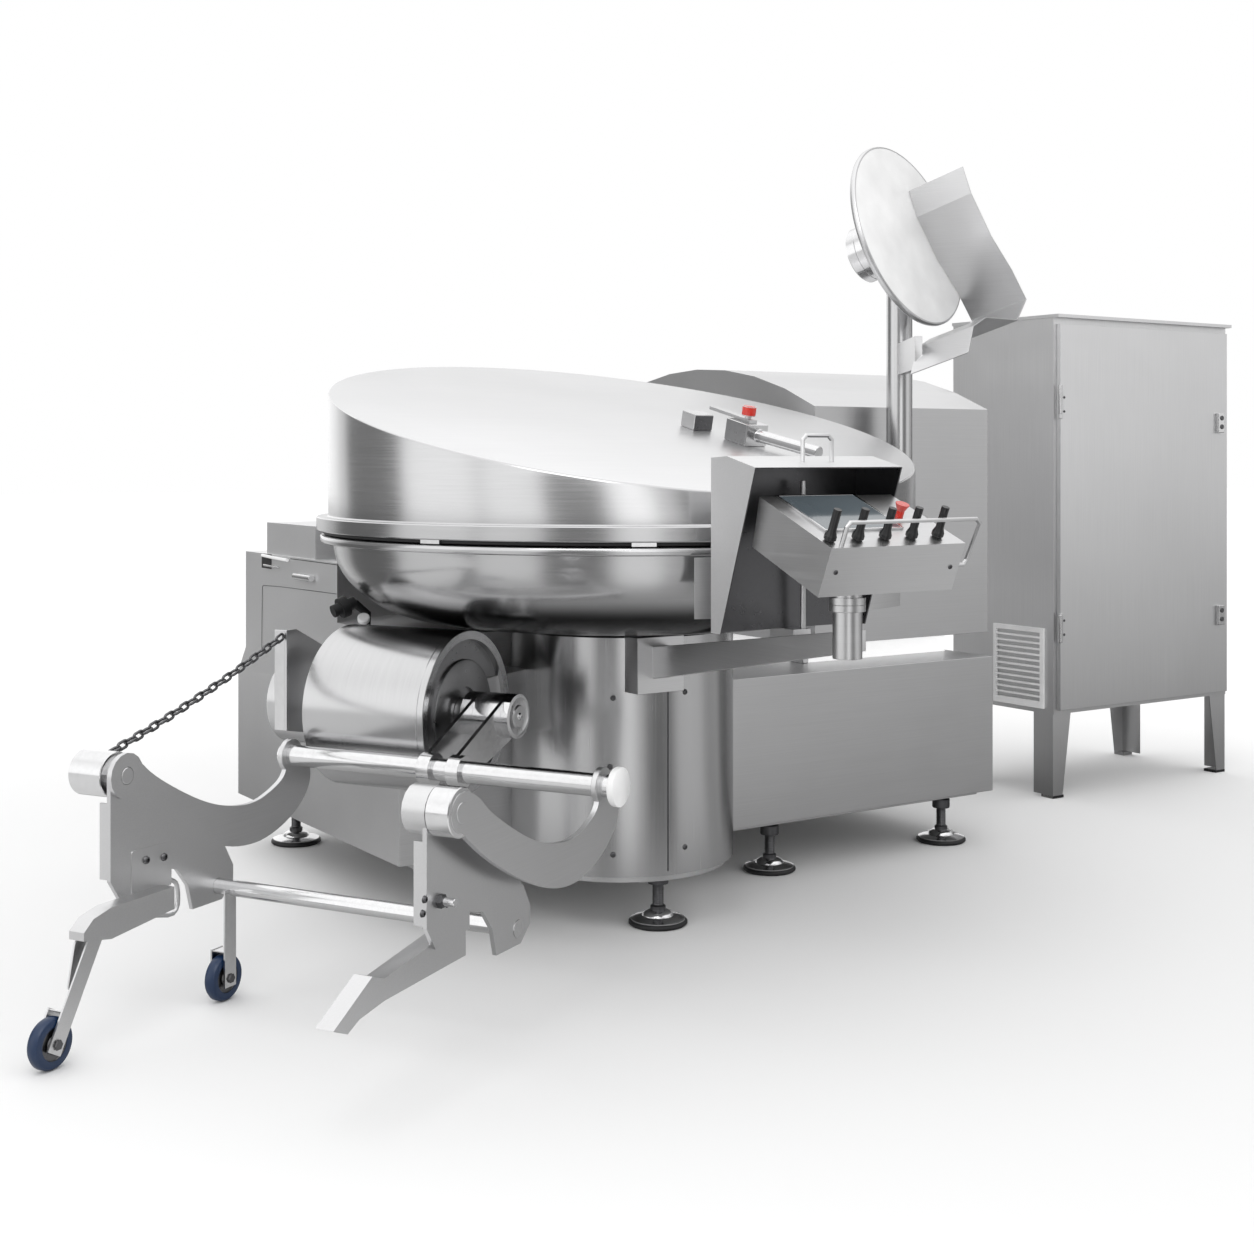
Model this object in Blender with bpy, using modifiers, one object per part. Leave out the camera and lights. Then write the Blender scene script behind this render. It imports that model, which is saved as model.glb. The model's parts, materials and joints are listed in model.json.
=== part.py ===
"""Meat bowl cutter: turning bowl under a sloped lid, knife head on a belt-driven shaft,
swivelling control console, unloading disc, bin loader and a separate switch cabinet.

Metres, +Z up. The operator stands on the -Y side, the loader is at -X, the drive at +X.
Pieces of the machine are placed from the bowl's axis, pieces of the loader from the floor
point under its rear wheel, with X pointing out of the machine and Y along its tube.
"""
import math

import bmesh
import bpy
from mathutils import Matrix, Vector

# Shared clearances and sheet
GAP = 0.0003
OVERRUN = 0.02
LAP = 0.002
SHEET = 0.004
BORE_GAP = 0.0005
ROUND_STEPS = 32
SMALL_STEPS = 16
PULLEY_STEPS = 24
MERGE = 0.0001

# Bowl's rim, which the machine is built round
BOWL_RIM_RADIUS = 0.965

# Place of the bowl's axis and of the loader
BOWL_X = -0.8236
BOWL_Y = -0.1155
LOADER_OUT = 0.461
LOADER_X = -BOWL_RIM_RADIUS - LOADER_OUT
LOADER_Y = -0.162
LOADER_TURN = math.radians(210.0)

# Base plate
BASE_LOW = 0.165
BASE_HIGH = 0.185
BASE_FRONT = 0.10
BASE_BACK = 1.58
BASE_NOSE_RADIUS = 0.34

# Column under the bowl and the ring the bowl turns on
COLUMN_RADIUS = 0.360
COLUMN_WALL = 0.008
COLUMN_HIGH = 0.920
RING_INNER = 0.240
RING_OUTER = 0.300
RING_HEIGHT = 0.025
SPINDLE_RADIUS = 0.050
SPINDLE_HIGH = 1.195

# Bowl
BOWL_RIM_LOW = 1.198
BOWL_RIM_HIGH = 1.221
RIM_WIDTH = 0.040
BOWL_HUB_RADIUS = 0.195
TROUGH_HALF = (BOWL_RIM_RADIUS - RIM_WIDTH - BOWL_HUB_RADIUS) / 2
TROUGH_CENTRE = BOWL_HUB_RADIUS + TROUGH_HALF
TROUGH_LEVEL = 1.200
BOWL_WALL = 0.010
HUB_TOP = 1.215
TROUGH_STEPS = 6
RIM_TURN = math.radians(-8.0)

# Lid
LID_SEAL_LOW = 1.2235
LID_SEAL_HIGH = 1.2345
SEAL_INSET = 0.008
SEAL_WIDTH = 0.027
LID_SEAL_OUTER = BOWL_RIM_RADIUS - SEAL_INSET
LID_SEAL_INNER = LID_SEAL_OUTER - SEAL_WIDTH
LID_OVERHANG = 0.012
LID_RING_RADIUS = BOWL_RIM_RADIUS + LID_OVERHANG
LID_RING_LOW = 1.235
LID_RING_HIGH = 1.278
LID_FLANGE = 0.037
LID_RADIUS = LID_RING_RADIUS - LID_FLANGE
LID_MIDDLE_TOP = 1.578
LID_SLOPE = math.atan(0.2316)
LID_WALL = 0.005
LID_NOTCH_HALF = 0.080
LID_NOTCH_HIGH = 1.360
HINGE_OUT = 0.143
HINGE_Y = LID_RING_RADIUS + HINGE_OUT
HINGE_Z = 1.290
HINGE_ROD_RADIUS = 0.020
HINGE_LEFT = -0.450
HINGE_RIGHT = 0.300
HINGE_BLOCK = 0.040
HINGE_ARM_X = 0.220
HINGE_ARM_HALF = 0.020
HINGE_EYE_RADIUS = 0.040

# Knife shaft, knives and belt drive
SHAFT_Y = TROUGH_CENTRE
SHAFT_Z = 1.275
SHAFT_RADIUS = 0.028
SHAFT_LEFT = -0.070
KNIFE_COUNT = 4
KNIFE_ROOM = 0.045
KNIFE_SIDE_ROOM = 0.065
KNIFE_REACH = SHAFT_Z - COLUMN_HIGH - RING_HEIGHT - BOWL_WALL - KNIFE_ROOM
KNIFE_RADIUS = min(KNIFE_REACH, TROUGH_HALF - KNIFE_SIDE_ROOM)
KNIFE_ROOT = 0.075
KNIFE_THICKNESS = 0.006
KNIFE_PITCH = 0.0125
KNIFE_FIRST_X = -0.050
CLAMP_RADIUS = 0.070
CLAMP_WIDTH = 0.018
BEARING_RADIUS = 0.045
BEARING_LEFT = 0.060
BEARING_FLANGE_RADIUS = 0.110
BEARING_FLANGE = 0.020
SHAFT_PULLEY_RADIUS = 0.110
MOTOR_PULLEY_RADIUS = 0.150
PULLEY_WIDTH = 0.080
BELT_THICKNESS = 0.012
BELT_GAP = 0.001
MOTOR_Z = 0.440
MOTOR_RADIUS = 0.200
MOTOR_LENGTH = 0.620
MOTOR_FOOT_HALF = 0.160
MOTOR_SHAFT_RADIUS = 0.030

# Housings
LOWER_LEFT = 0.3605
LOWER_FRONT = 0.045
LOWER_BACK = 1.600
LOWER_HIGH = 0.700
NECK_INSET = 0.230
NECK_HIGH = 0.7697
NECK_SIDE = 0.015
NECK_END = 0.030
NECK_WALL = 0.020
HOUSING_ROOM = 0.008
UPPER_LENGTH = 0.885
LOWER_INSET = 0.140
UPPER_LEFT = LID_RING_RADIUS + HOUSING_ROOM
UPPER_RIGHT = UPPER_LEFT + UPPER_LENGTH
LOWER_RIGHT = UPPER_RIGHT - LOWER_INSET
NECK_LEFT = UPPER_LEFT + NECK_SIDE
NECK_RIGHT = LOWER_RIGHT - NECK_END
UPPER_FRONT = 0.210
UPPER_BACK = 1.690
UPPER_LOW = 0.770
UPPER_EAVE = 1.650
UPPER_CROWN = 1.815
CASING_INSET = 0.295
CASING_LEFT = CASING_INSET - BOWL_RIM_RADIUS
CASING_RIGHT = 0.360
CASING_FRONT = 0.200
CASING_HIGH = 1.104
STEP_SIDE = 0.010
STEP_FRONT_RUN = 0.170
STEP_BACK_RUN = 0.280
STEP_TO_BACK = 0.190
CASING_STEP_LEFT = CASING_LEFT + STEP_SIDE
CASING_STEP_FRONT = HINGE_Y - STEP_FRONT_RUN
CASING_STEP_BACK = HINGE_Y + STEP_BACK_RUN
CASING_BACK = CASING_STEP_BACK + STEP_TO_BACK
CASING_STEP_HIGH = 1.220
CASING_FLARE = 0.030
CASING_FLARE_HIGH = 0.740
RECESS_ROOM = 0.035
BOWL_RECESS_RADIUS = BOWL_RIM_RADIUS + RECESS_ROOM
BOWL_RECESS_LOW = 0.900
LATCH_FROM_BACK = 0.660
LATCH_Y = CASING_BACK - LATCH_FROM_BACK
LATCH_Z = 1.040
LATCH_LENGTH = 0.150
LATCH_RADIUS = 0.012

# Drive pieces along the shaft, placed from the housings
PULLEY_INSET = 0.350
PULLEY_X = UPPER_RIGHT - PULLEY_INSET
SHAFT_PAST_PULLEY = 0.080
SHAFT_RIGHT = PULLEY_X + SHAFT_PAST_PULLEY
BEARING_INTO_HOUSING = 0.075
BEARING_RIGHT = UPPER_LEFT + BEARING_INTO_HOUSING
MOTOR_TO_PULLEY = 0.140
MOTOR_RIGHT = PULLEY_X - MOTOR_TO_PULLEY
MOTOR_LEFT = MOTOR_RIGHT - MOTOR_LENGTH

# Base plate's ends and levelling feet
BASE_INSET = 0.030
BASE_LEFT = CASING_LEFT + BASE_INSET
BASE_RIGHT = LOWER_RIGHT - BASE_INSET
FOOT_PAD_RADIUS = 0.0925
FOOT_PAD_LOW = 0.012
FOOT_PAD_HIGH = 0.030
FOOT_COLLAR_RADIUS = 0.045
FOOT_COLLAR_HIGH = 0.050
FOOT_STEM_RADIUS = 0.018
FOOT_NUT_RADIUS = 0.032
FOOT_NUT_HEIGHT = 0.030
FOOT_FRONT_X = -0.01
FOOT_FRONT_Y = -0.22
FOOT_ROW_Y = 0.13
FOOT_MIDDLE_X = 0.71
FOOT_RIGHT_INSET = 0.160
FOOT_RIGHT_X = BASE_RIGHT - FOOT_RIGHT_INSET
FOOT_LEFT_INSET = 0.120
FOOT_LEFT_X = BASE_LEFT + FOOT_LEFT_INSET
FOOT_BACK_Y = 1.46

# Splash hood's place before the bowl, which the console follows
HOOD_ROOM = 0.025
HOOD_HEEL_Y = -BOWL_RIM_RADIUS - HOOD_ROOM
HOOD_TIP_RUN = 0.040
HOOD_TIP_Y = HOOD_HEEL_Y - HOOD_TIP_RUN
HOOD_REAR_RUN = 0.070
HOOD_REAR_Y = HOOD_HEEL_Y - HOOD_REAR_RUN
HOOD_ROOF_RUN = 0.120
HOOD_FRONT_Y = HOOD_REAR_Y - HOOD_ROOF_RUN

# Control console
CONSOLE_FROM_HOOD = 0.169
CONSOLE_REAR_Y = HOOD_HEEL_Y - CONSOLE_FROM_HOOD
CONSOLE_RUN = 0.2845
CONSOLE_FRONT_Y = CONSOLE_REAR_Y - CONSOLE_RUN
CONSOLE_TOE_RUN = 0.0515
CONSOLE_TOE_Y = CONSOLE_FRONT_Y + CONSOLE_TOE_RUN
CONSOLE_HEEL_RUN = 0.029
CONSOLE_HEEL_Y = CONSOLE_REAR_Y + CONSOLE_HEEL_RUN
ARM_FROM_Y = -0.3600
ARM_FROM_X = -0.1060
ARM_FROM_Z = 0.835
ARM_FROM_HALF = 0.049
ARM_TO_Z = 0.988
ARM_TO_HALF = 0.028
ARM_WIDTH_HALF = 0.030
ARM_FLANGE = 0.016
ARM_FLANGE_HALF = 0.085
POST_X = -0.140
POST_INSET = 0.111
POST_Y = CONSOLE_REAR_Y - POST_INSET
POST_RADIUS = 0.0385
POST_LOW = 0.945
POST_COLLAR_RADIUS = 0.0475
POST_COLLAR_HEIGHT = 0.018
POST_HIGH = 1.0850
HEAD_COLLAR_LOW = 1.0853
HEAD_COLLAR_HIGH = 1.200
CONSOLE_LEFT = -0.340
CONSOLE_RIGHT = 0.110
CONSOLE_REAR_Z = 1.363
CONSOLE_FRONT_Z = 1.243
CONSOLE_TOE_Z = 1.120
CONSOLE_HEEL_Z = 1.232
SCREEN_X = -0.160
SCREEN_WIDTH = 0.250
SCREEN_DEPTH = 0.200
SCREEN_THICKNESS = 0.006
SCREEN_BACK_INSET = 0.012
STICK_COUNT = 5
STICK_FIRST_X = -0.315
STICK_PITCH = 0.090
STICK_INSET = 0.042
STICK_HEIGHT = 0.085
STICK_RADIUS = 0.0105
STICK_BOOT_RADIUS = 0.016
STICK_BOOT_HEIGHT = 0.028
STICK_LIFT = 0.0045
STICK_NECK = 0.006
STICK_PIN_RADIUS = 0.010
STICK_PIN_HALF = 0.008
STOP_X = 0.020
STOP_INSET = 0.167
STOP_STEM_RADIUS = 0.011
STOP_CAP_RADIUS = 0.020
STOP_STEM_HEIGHT = 0.018
STOP_CAP_HEIGHT = 0.020
STOP_SUNK = 0.006
STOP_TRAVEL = 0.006
RAIL_RADIUS = 0.006
RAIL_OUT = 0.0095
RAIL_HIGH = 1.305
RAIL_RIGHT = 0.150
RAIL_LEFT = -0.300
RAIL_END_Z = 1.185
RAIL_END_RUN = 0.0385
RAIL_END_Y = CONSOLE_FRONT_Y + RAIL_END_RUN

# Splash hood and the guard behind the console
HOOD_LEFT = -0.370
HOOD_RIGHT = 0.134
HOOD_REAR_Z = 1.467
HOOD_FRONT_Z = 1.438
HOOD_TIP_Z = 1.000
HOOD_HANDLE_X = -0.115
HOOD_HANDLE_HALF = 0.050
HOOD_HANDLE_HEIGHT = 0.055
HOOD_HANDLE_RADIUS = 0.006
GUIDE_X = -0.090
GUIDE_RUN = 0.040
GUIDE_Y = HOOD_HEEL_Y - GUIDE_RUN
GUIDE_RADIUS = 0.008
GUARD_ROOM = 0.018
GUARD_RADIUS = BOWL_RIM_RADIUS + GUARD_ROOM
GUARD_LOW = 1.030
GUARD_HIGH = 1.195
GUARD_WALL = 0.004
GUARD_FROM = math.radians(248.0)
GUARD_TO = math.radians(292.0)
GUARD_FOOT = 0.070
GUARD_FOOT_TOP = 0.030
GUIDE_HIGH = 1.400

# Lid clamp, latch and locking bar
CLAMP_BLOCK = 0.075
CLAMP_HEIGHT = 0.050
CLAMP_X = 0.235
CLAMP_Y = -0.085
LATCH_BLOCK_X = 0.270
LATCH_BLOCK_Y = -0.300
LATCH_BLOCK_LENGTH = 0.110
LATCH_BLOCK_WIDTH = 0.085
LATCH_BLOCK_HEIGHT = 0.070
LATCH_LEVER_LENGTH = 0.190
LATCH_LEVER_WIDTH = 0.030
LATCH_LEVER_THICKNESS = 0.010
KNOB_RADIUS = 0.022
KNOB_HEIGHT = 0.030
KNOB_STEM_RADIUS = 0.010
KNOB_STEM = 0.014
BAR_RADIUS = 0.020
BAR_LENGTH = 0.300
BAR_TURN = math.radians(12.0)

# Unloader
PIVOT_FROM_HOUSING = 0.315
PIVOT_X = UPPER_LEFT + PIVOT_FROM_HOUSING
PIVOT_OUT = 0.110
PIVOT_Y = UPPER_FRONT - PIVOT_OUT
PIVOT_Z = 1.410
PIVOT_PIN_RADIUS = 0.012
PIVOT_EAR = 0.012
PIVOT_EAR_RADIUS = 0.052
PIVOT_PLATE = 0.012
PIVOT_PLATE_WIDTH = 0.150
PIVOT_PLATE_HEIGHT = 0.110
MAST_RADIUS = 0.048
MAST_FOOT = 0.055
MAST_HIGH = 2.130
DISC_SIDE = 0.0925
DISC_X = PIVOT_X - DISC_SIDE
DISC_OUT = 0.1436
DISC_Y = PIVOT_Y - DISC_OUT
DISC_Z = 2.262
DISC_RADIUS = 0.345
DISC_THICKNESS = 0.022
DISC_NORMAL = Vector((0.281, -0.915, 0.288)).normalized()
DRIVE_RADIUS = 0.105
DRIVE_FROM = 0.045
DRIVE_TO = 0.205
DRIVE_SHAFT_RADIUS = 0.020
CHUTE_WIDTH = 0.230
CHUTE_SHEET = 0.004
CHUTE_SIZE = 0.300
CHUTE_SHARES = ((0.25, 0.60), (0.28, 0.26), (0.50, -0.27), (0.80, -0.67), (0.97, -1.03), (0.57, -1.32),
                (-0.23, -1.34), (-0.60, -1.47), (-0.90, -1.80))
STAY_WIDTH = 0.026
STAY_HEIGHT = 0.115
STAY_RIGHT = -0.225
STAY_UP = -0.470
STAY_OUT = 0.040

# Switch cabinet
CABINET_LEFT = 2.495
CABINET_WIDTH = 1.147
CABINET_RIGHT = CABINET_LEFT + CABINET_WIDTH
CABINET_FRONT = 0.438
CABINET_DEPTH = 0.602
CABINET_BACK = CABINET_FRONT + CABINET_DEPTH
CABINET_LOW = 0.360
CABINET_HIGH = 2.060
CABINET_WALL = 0.004
DOOR_THICKNESS = 0.022
DOOR_INSET = 0.018
DOOR_TOP_INSET = 0.030
FRONT_RIM = 0.050
ROOF_LIP = 0.020
ROOF_THICKNESS = 0.012
LEG_TOP = 0.110
LEG_FOOT = 0.060
LEG_SHEET = 0.005
LEG_PAD = 0.012
LOCK_WIDTH = 0.040
LOCK_HEIGHT = 0.090
LOCK_DEPTH = 0.018
LOCK_INSET = 0.060
LOCK_SHARES = (0.22, 0.74)
DOOR_HINGE_RADIUS = 0.011
DOOR_HINGE_LENGTH = 0.120
DOOR_HINGE_SHARES = (0.22, 0.78)
GRILLE_FROM_Y = 0.487
GRILLE_TO_Y = 0.780
GRILLE_LOW = 0.380
GRILLE_HIGH = 0.725
GRILLE_SLATS = 12
GRILLE_FRAME = 0.020
GRILLE_DEPTH = 0.012

# Loader, in its own frame: out of the machine, along the tube, up
DRUM_OUT = -0.635
DRUM_Z = 0.715
DRUM_RADIUS = 0.240
DRUM_LEFT = -0.0115
DRUM_RIGHT = 0.408
DRUM_LIP = 0.010
DRUM_ROOM = 0.006
NOSE_RADIUS = 0.130
NOSE_LEFT = -0.227
BRACKET_LOW = 0.600
BRACKET_HIGH = 0.820
BRACKET_LEFT = 0.200
BRACKET_RIGHT = 0.400
BRACKET_SHORT = 0.545
BRACKET_REACH = BOWL_RIM_RADIUS - BRACKET_SHORT
ANCHOR_SIDE = -0.080
ANCHOR_SHEET = 0.008
ANCHOR_FRONT = -0.405
ANCHOR_LOW = 0.660
ANCHOR_HIGH = 0.955
ANCHOR_FLANGE = 0.045
TUBE_OUT = -0.360
TUBE_Z = 0.600
TUBE_RADIUS = 0.0305
TUBE_LEFT = -0.050
TUBE_RIGHT = 1.032
CAP_RADIUS = 0.052
CAP_THICKNESS = 0.022
HUB_RADIUS = 0.065
HUB_LEFT = 0.4203
HUB_RIGHT = 0.580
HUB_SHAFT_RADIUS = 0.045
LEVER_FIRST_SIDE = 0.450
LEVER_PITCH = 0.095
LEVER_COUNT = 2
LEVER_THICKNESS = 0.012
LEVER_COLLAR = 0.045
LEVER_COLLAR_WIDTH = 0.040
BOSS_OUT = 0.340
BOSS_Z = 0.660
BOSS_RADIUS = 0.058
PIN_RADIUS = 0.022
PLATE = 0.012
ARM_LEFT_SIDE = -0.032
ARM_RIGHT_SIDE = 0.985
ARM_PLATE = 0.015
ARM_DROP = 0.280
ARM_EYE = 0.048
BOSS_LEFT_END = -0.138
HANGER_LEFT_SIDE = -0.0167
HANGER_RIGHT_SIDE = 0.923
BOSS_RIGHT_END = 0.872
HANGER_WIDTH = 0.470
HANGER_DROP = 0.400
HANGER_FLANGE = 0.024
FLANGE_TOP_DROP = 0.064
FLANGE_LOW_DROP = 0.256
CROSS_OUT = -0.020
CROSS_Z = 0.300
CROSS_RADIUS = 0.0215
FORK_HALF = 0.024
FORK_WALL = 0.005
FORK_LONG = 0.320
FORK_DEEP = 0.078
FORK_TOP = 0.354
FORK_FROM = 0.205
RIGHT_FORK_TOP = 0.378
RIGHT_FORK_LONG = 0.520
WHEEL_RADIUS = 0.0625
WHEEL_WIDTH = 0.034
WHEEL_BORE = 0.008
FRONT_WHEEL_OUT = 0.594
WHEEL_SIDE = 0.030
WHEEL_FORK = 0.005
WHEEL_FORK_GAP = 0.003
LEG_WIDTH = 0.045
STRUT_TOP_OUT = 0.460
STRUT_TOP_Z = 0.300
CHAIN_PITCH = 0.030
CHAIN_WIRE = 0.0042
CHAIN_LINK_HALF = 0.0090
CHAIN_SAG = 0.012
CHAIN_LINK_STEPS = 8
CHAIN_END = 0.0072
SHACKLE_OUT = 0.292
SHACKLE_Z = 0.704
SHACKLE_SIDE = -0.095

# Pipe union on the casing's left side
UNION_Y = 0.285
UNION_LOW = 0.860
UNION_HIGH = 0.972
UNION_OUT = 0.100
UNION_X = CASING_LEFT - UNION_OUT
UNION_BEND = 0.045
UNION_RADIUS = 0.033
UNION_NECK_RADIUS = 0.020
UNION_LENGTH = 0.075
UNION_RING = 0.025
UNION_PIPE_RADIUS = 0.013
UNION_TILT = math.radians(40.0)

# Outlines, as shares of the sizes that they follow
ARM_TOP_SHARES = (
    (0.00, -0.20), (0.10, -0.10), (0.16, 0.05), (0.29, 0.25), (0.45, 0.45),
    (0.60, 0.56), (0.75, 0.60), (0.86, 0.54), (0.93, 0.40), (0.94, 0.21))
ARM_BOTTOM_SHARES = (
    (1.06, 0.21), (1.10, 0.42), (1.06, 0.66), (0.98, 0.83), (0.87, 0.96), (0.75, 1.01),
    (0.60, 0.97), (0.43, 0.81), (0.29, 0.65), (0.13, 0.43), (0.02, 0.21), (-0.08, 0.0))
HANGER_SHARES = (
    (-0.10, -0.02), (-0.10, 0.65), (-0.02, 0.79), (0.29, 0.76), (0.29, 0.66), (0.42, 0.70),
    (0.51, 0.83), (0.55, 1.00), (0.80, 1.00), (0.90, 0.90), (0.90, 0.79), (0.83, 0.65),
    (0.50, 0.32), (0.24, 0.05), (0.12, -0.02))
KNIFE_SHARES = (
    (0.06, 0.25), (0.30, 0.36), (0.62, 0.42), (0.90, 0.34), (1.00, 0.06), (0.97, -0.12),
    (0.84, 0.02), (0.62, 0.04), (0.40, -0.06), (0.20, -0.25), (0.06, -0.25))

LEFT_FORK_SHARES = (
    (0.0, 0.0), (0.71, 0.0), (0.90, 0.18), (1.0, 0.52), (1.0, 0.78), (0.71, 1.0), (0.0, 0.74))
RIGHT_FORK_SHARES = (
    (0.0, 0.0), (0.64, 0.62), (0.73, 0.41), (1.0, 1.39), (0.90, 1.66),
    (0.82, 1.42), (0.64, 1.25), (0.0, 1.10))
MITRE_SHARE = 0.5
LEVEL_SHARE = 0.5

STEEL = (0.62, 0.63, 0.64, 1.0)
DARK_STEEL = (0.30, 0.31, 0.32, 1.0)
BLACK = (0.015, 0.015, 0.016, 1.0)
RED = (0.62, 0.03, 0.02, 1.0)
BLUE = (0.02, 0.10, 0.30, 1.0)
WHITE = (0.85, 0.86, 0.87, 1.0)
GLASS = (0.10, 0.14, 0.17, 1.0)


def new_material(name, colour, roughness, metallic):
    material = bpy.data.materials.new(name)
    material.use_nodes = True
    shader = material.node_tree.nodes["Principled BSDF"]
    shader.inputs["Base Color"].default_value = colour
    shader.inputs["Roughness"].default_value = roughness
    shader.inputs["Metallic"].default_value = metallic
    return material


def clear_scene():
    for item in list(bpy.data.objects):
        bpy.data.objects.remove(item)


clear_scene()
parts = bpy.data.collections.new("meat_bowl_cutter")
cutters = bpy.data.collections.new("cutters")
bpy.context.scene.collection.children.link(parts)
bpy.context.scene.collection.children.link(cutters)

brushed = new_material("brushed_stainless", STEEL, 0.32, 1.0)
polished = new_material("polished_stainless", STEEL, 0.12, 1.0)
dark = new_material("dark_steel", DARK_STEEL, 0.45, 1.0)
black = new_material("black_rubber", BLACK, 0.6, 0.0)
red = new_material("red_plastic", RED, 0.35, 0.0)
blue = new_material("blue_tyre", BLUE, 0.5, 0.0)
white = new_material("white_plastic", WHITE, 0.35, 0.0)
glass = new_material("screen_glass", GLASS, 0.08, 0.0)


def new_empty(name, location, turn=0.0, parent=None):
    empty = bpy.data.objects.new(name, None)
    empty.location = location
    empty.rotation_euler = (0.0, 0.0, turn)
    empty.parent = parent
    parts.objects.link(empty)
    return empty


machine = new_empty("machine", (BOWL_X, BOWL_Y, 0.0))
loader = new_empty("loader", (LOADER_X, LOADER_Y, 0.0), LOADER_TURN, machine)


def add_piece(name, mesh, material, parent, location=(0.0, 0.0, 0.0), matrix=None):
    piece = bpy.data.objects.new(name, mesh)
    piece.parent = parent
    if matrix is None:
        piece.location = location
    else:
        piece.matrix_local = matrix
    mesh.materials.append(material)
    parts.objects.link(piece)
    return piece


def as_tool(piece):
    """Takes a shape out of the parts, to cut or join another one."""
    parts.objects.unlink(piece)
    cutters.objects.link(piece)
    piece.hide_render = True
    piece.display_type = "WIRE"
    return piece


def combine(target, tool, operation):
    modifier = target.modifiers.new(operation.lower(), "BOOLEAN")
    modifier.operation = operation
    modifier.object = as_tool(tool)
    modifier.solver = "EXACT"
    return target


def cut(target, *tools):
    for tool in tools:
        combine(target, tool, "DIFFERENCE")
    return target


def join(target, *tools):
    for tool in tools:
        combine(target, tool, "UNION")
    return target


def smooth(mesh, angle=35.0):
    mesh.shade_smooth()
    mesh.set_sharp_from_angle(angle=math.radians(angle))


def box(name, low, high, material, parent, matrix=None):
    mesh = bpy.data.meshes.new(name)
    shape = bmesh.new()
    bmesh.ops.create_cube(shape, size=1.0)
    low, high = Vector(low), Vector(high)
    size = high - low
    bmesh.ops.scale(shape, vec=size, verts=shape.verts)
    bmesh.ops.translate(shape, vec=(low + high) / 2, verts=shape.verts)
    shape.to_mesh(mesh)
    shape.free()
    return add_piece(name, mesh, material, parent, matrix=matrix)


def rod(name, start, end, radius, material, parent, steps=SMALL_STEPS, end_radius=None):
    """A round bar, or a cone, from one point to another."""
    start, end = Vector(start), Vector(end)
    along = end - start
    mesh = bpy.data.meshes.new(name)
    shape = bmesh.new()
    bmesh.ops.create_cone(
        shape, cap_ends=True, segments=steps, radius1=radius,
        radius2=radius if end_radius is None else end_radius, depth=along.length)
    turn = along.to_track_quat("Z", "Y").to_matrix().to_4x4()
    place = Matrix.Translation((start + end) / 2) @ turn
    bmesh.ops.transform(shape, matrix=place, verts=shape.verts)
    shape.to_mesh(mesh)
    shape.free()
    smooth(mesh)
    return add_piece(name, mesh, material, parent)


def curve_to_piece(name, curve, material, parent, matrix=None):
    """Makes a mesh of a curve, with its caps welded on."""
    carrier = bpy.data.objects.new(name + "_curve", curve)
    parts.objects.link(carrier)
    bpy.context.view_layer.update()
    evaluated = carrier.evaluated_get(bpy.context.evaluated_depsgraph_get())
    mesh = bpy.data.meshes.new_from_object(evaluated)
    bpy.data.objects.remove(carrier)
    mesh.materials.clear()
    shape = bmesh.new()
    shape.from_mesh(mesh)
    bmesh.ops.remove_doubles(shape, verts=shape.verts, dist=MERGE)
    bmesh.ops.recalc_face_normals(shape, faces=shape.faces)
    shape.to_mesh(mesh)
    shape.free()
    smooth(mesh)
    return add_piece(name, mesh, material, parent, matrix=matrix)


def plate(name, outline, thickness, material, parent, matrix=None):
    """A flat outline in local X and Y, with its thickness up from Z zero."""
    curve = bpy.data.curves.new(name, "CURVE")
    curve.dimensions = "2D"
    curve.fill_mode = "BOTH"
    curve.extrude = thickness / 2
    spline = curve.splines.new("POLY")
    spline.points.add(len(outline) - 1)
    for point, (x, y) in zip(spline.points, outline):
        point.co = (x, y, 0.0, 1.0)
    spline.use_cyclic_u = True
    piece = curve_to_piece(name, curve, material, parent, matrix)
    piece.data.transform(Matrix.Translation((0.0, 0.0, thickness / 2)))
    return piece


def tube(name, points, radius, material, parent, resolution=3):
    """A round bar bent through the given points."""
    curve = bpy.data.curves.new(name, "CURVE")
    curve.dimensions = "3D"
    curve.bevel_depth = radius
    curve.bevel_resolution = resolution
    curve.use_fill_caps = True
    spline = curve.splines.new("POLY")
    spline.points.add(len(points) - 1)
    for point, place in zip(spline.points, points):
        point.co = (*place, 1.0)
    return curve_to_piece(name, curve, material, parent)


def turned(name, profile, material, parent, location=(0.0, 0.0, 0.0), steps=ROUND_STEPS, matrix=None):
    """A closed profile of radius and height, turned about local Z."""
    area = sum(one[0] * two[1] - two[0] * one[1] for one, two in zip(profile, profile[1:] + profile[:1]))
    if area > 0:
        profile = profile[::-1]
    mesh = bpy.data.meshes.new(name)
    shape = bmesh.new()
    corners = [shape.verts.new((radius, 0.0, height)) for radius, height in profile]
    for first, second in zip(corners, corners[1:] + corners[:1]):
        if first.co.x > MERGE or second.co.x > MERGE:
            shape.edges.new((first, second))
    shape.to_mesh(mesh)
    shape.free()
    piece = add_piece(name, mesh, material, parent, location, matrix)
    screw = piece.modifiers.new("turn", "SCREW")
    screw.steps = steps
    screw.render_steps = steps
    screw.use_merge_vertices = True
    screw.merge_threshold = MERGE
    screw.use_smooth_shade = False
    return piece


def arc(centre_x, centre_y, radius_x, radius_y, start, end, steps):
    points = []
    for index in range(steps + 1):
        angle = start + (end - start) * index / steps
        points.append((centre_x + radius_x * math.cos(angle), centre_y + radius_y * math.sin(angle)))
    return points


def upright(out=0.0, side=0.0, height=0.0):
    """Stands a plate up: its X stays, its Y becomes up, its thickness runs along -Y."""
    return Matrix.Translation((out, side, height)) @ Matrix.Rotation(math.radians(90.0), 4, "X")


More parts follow.
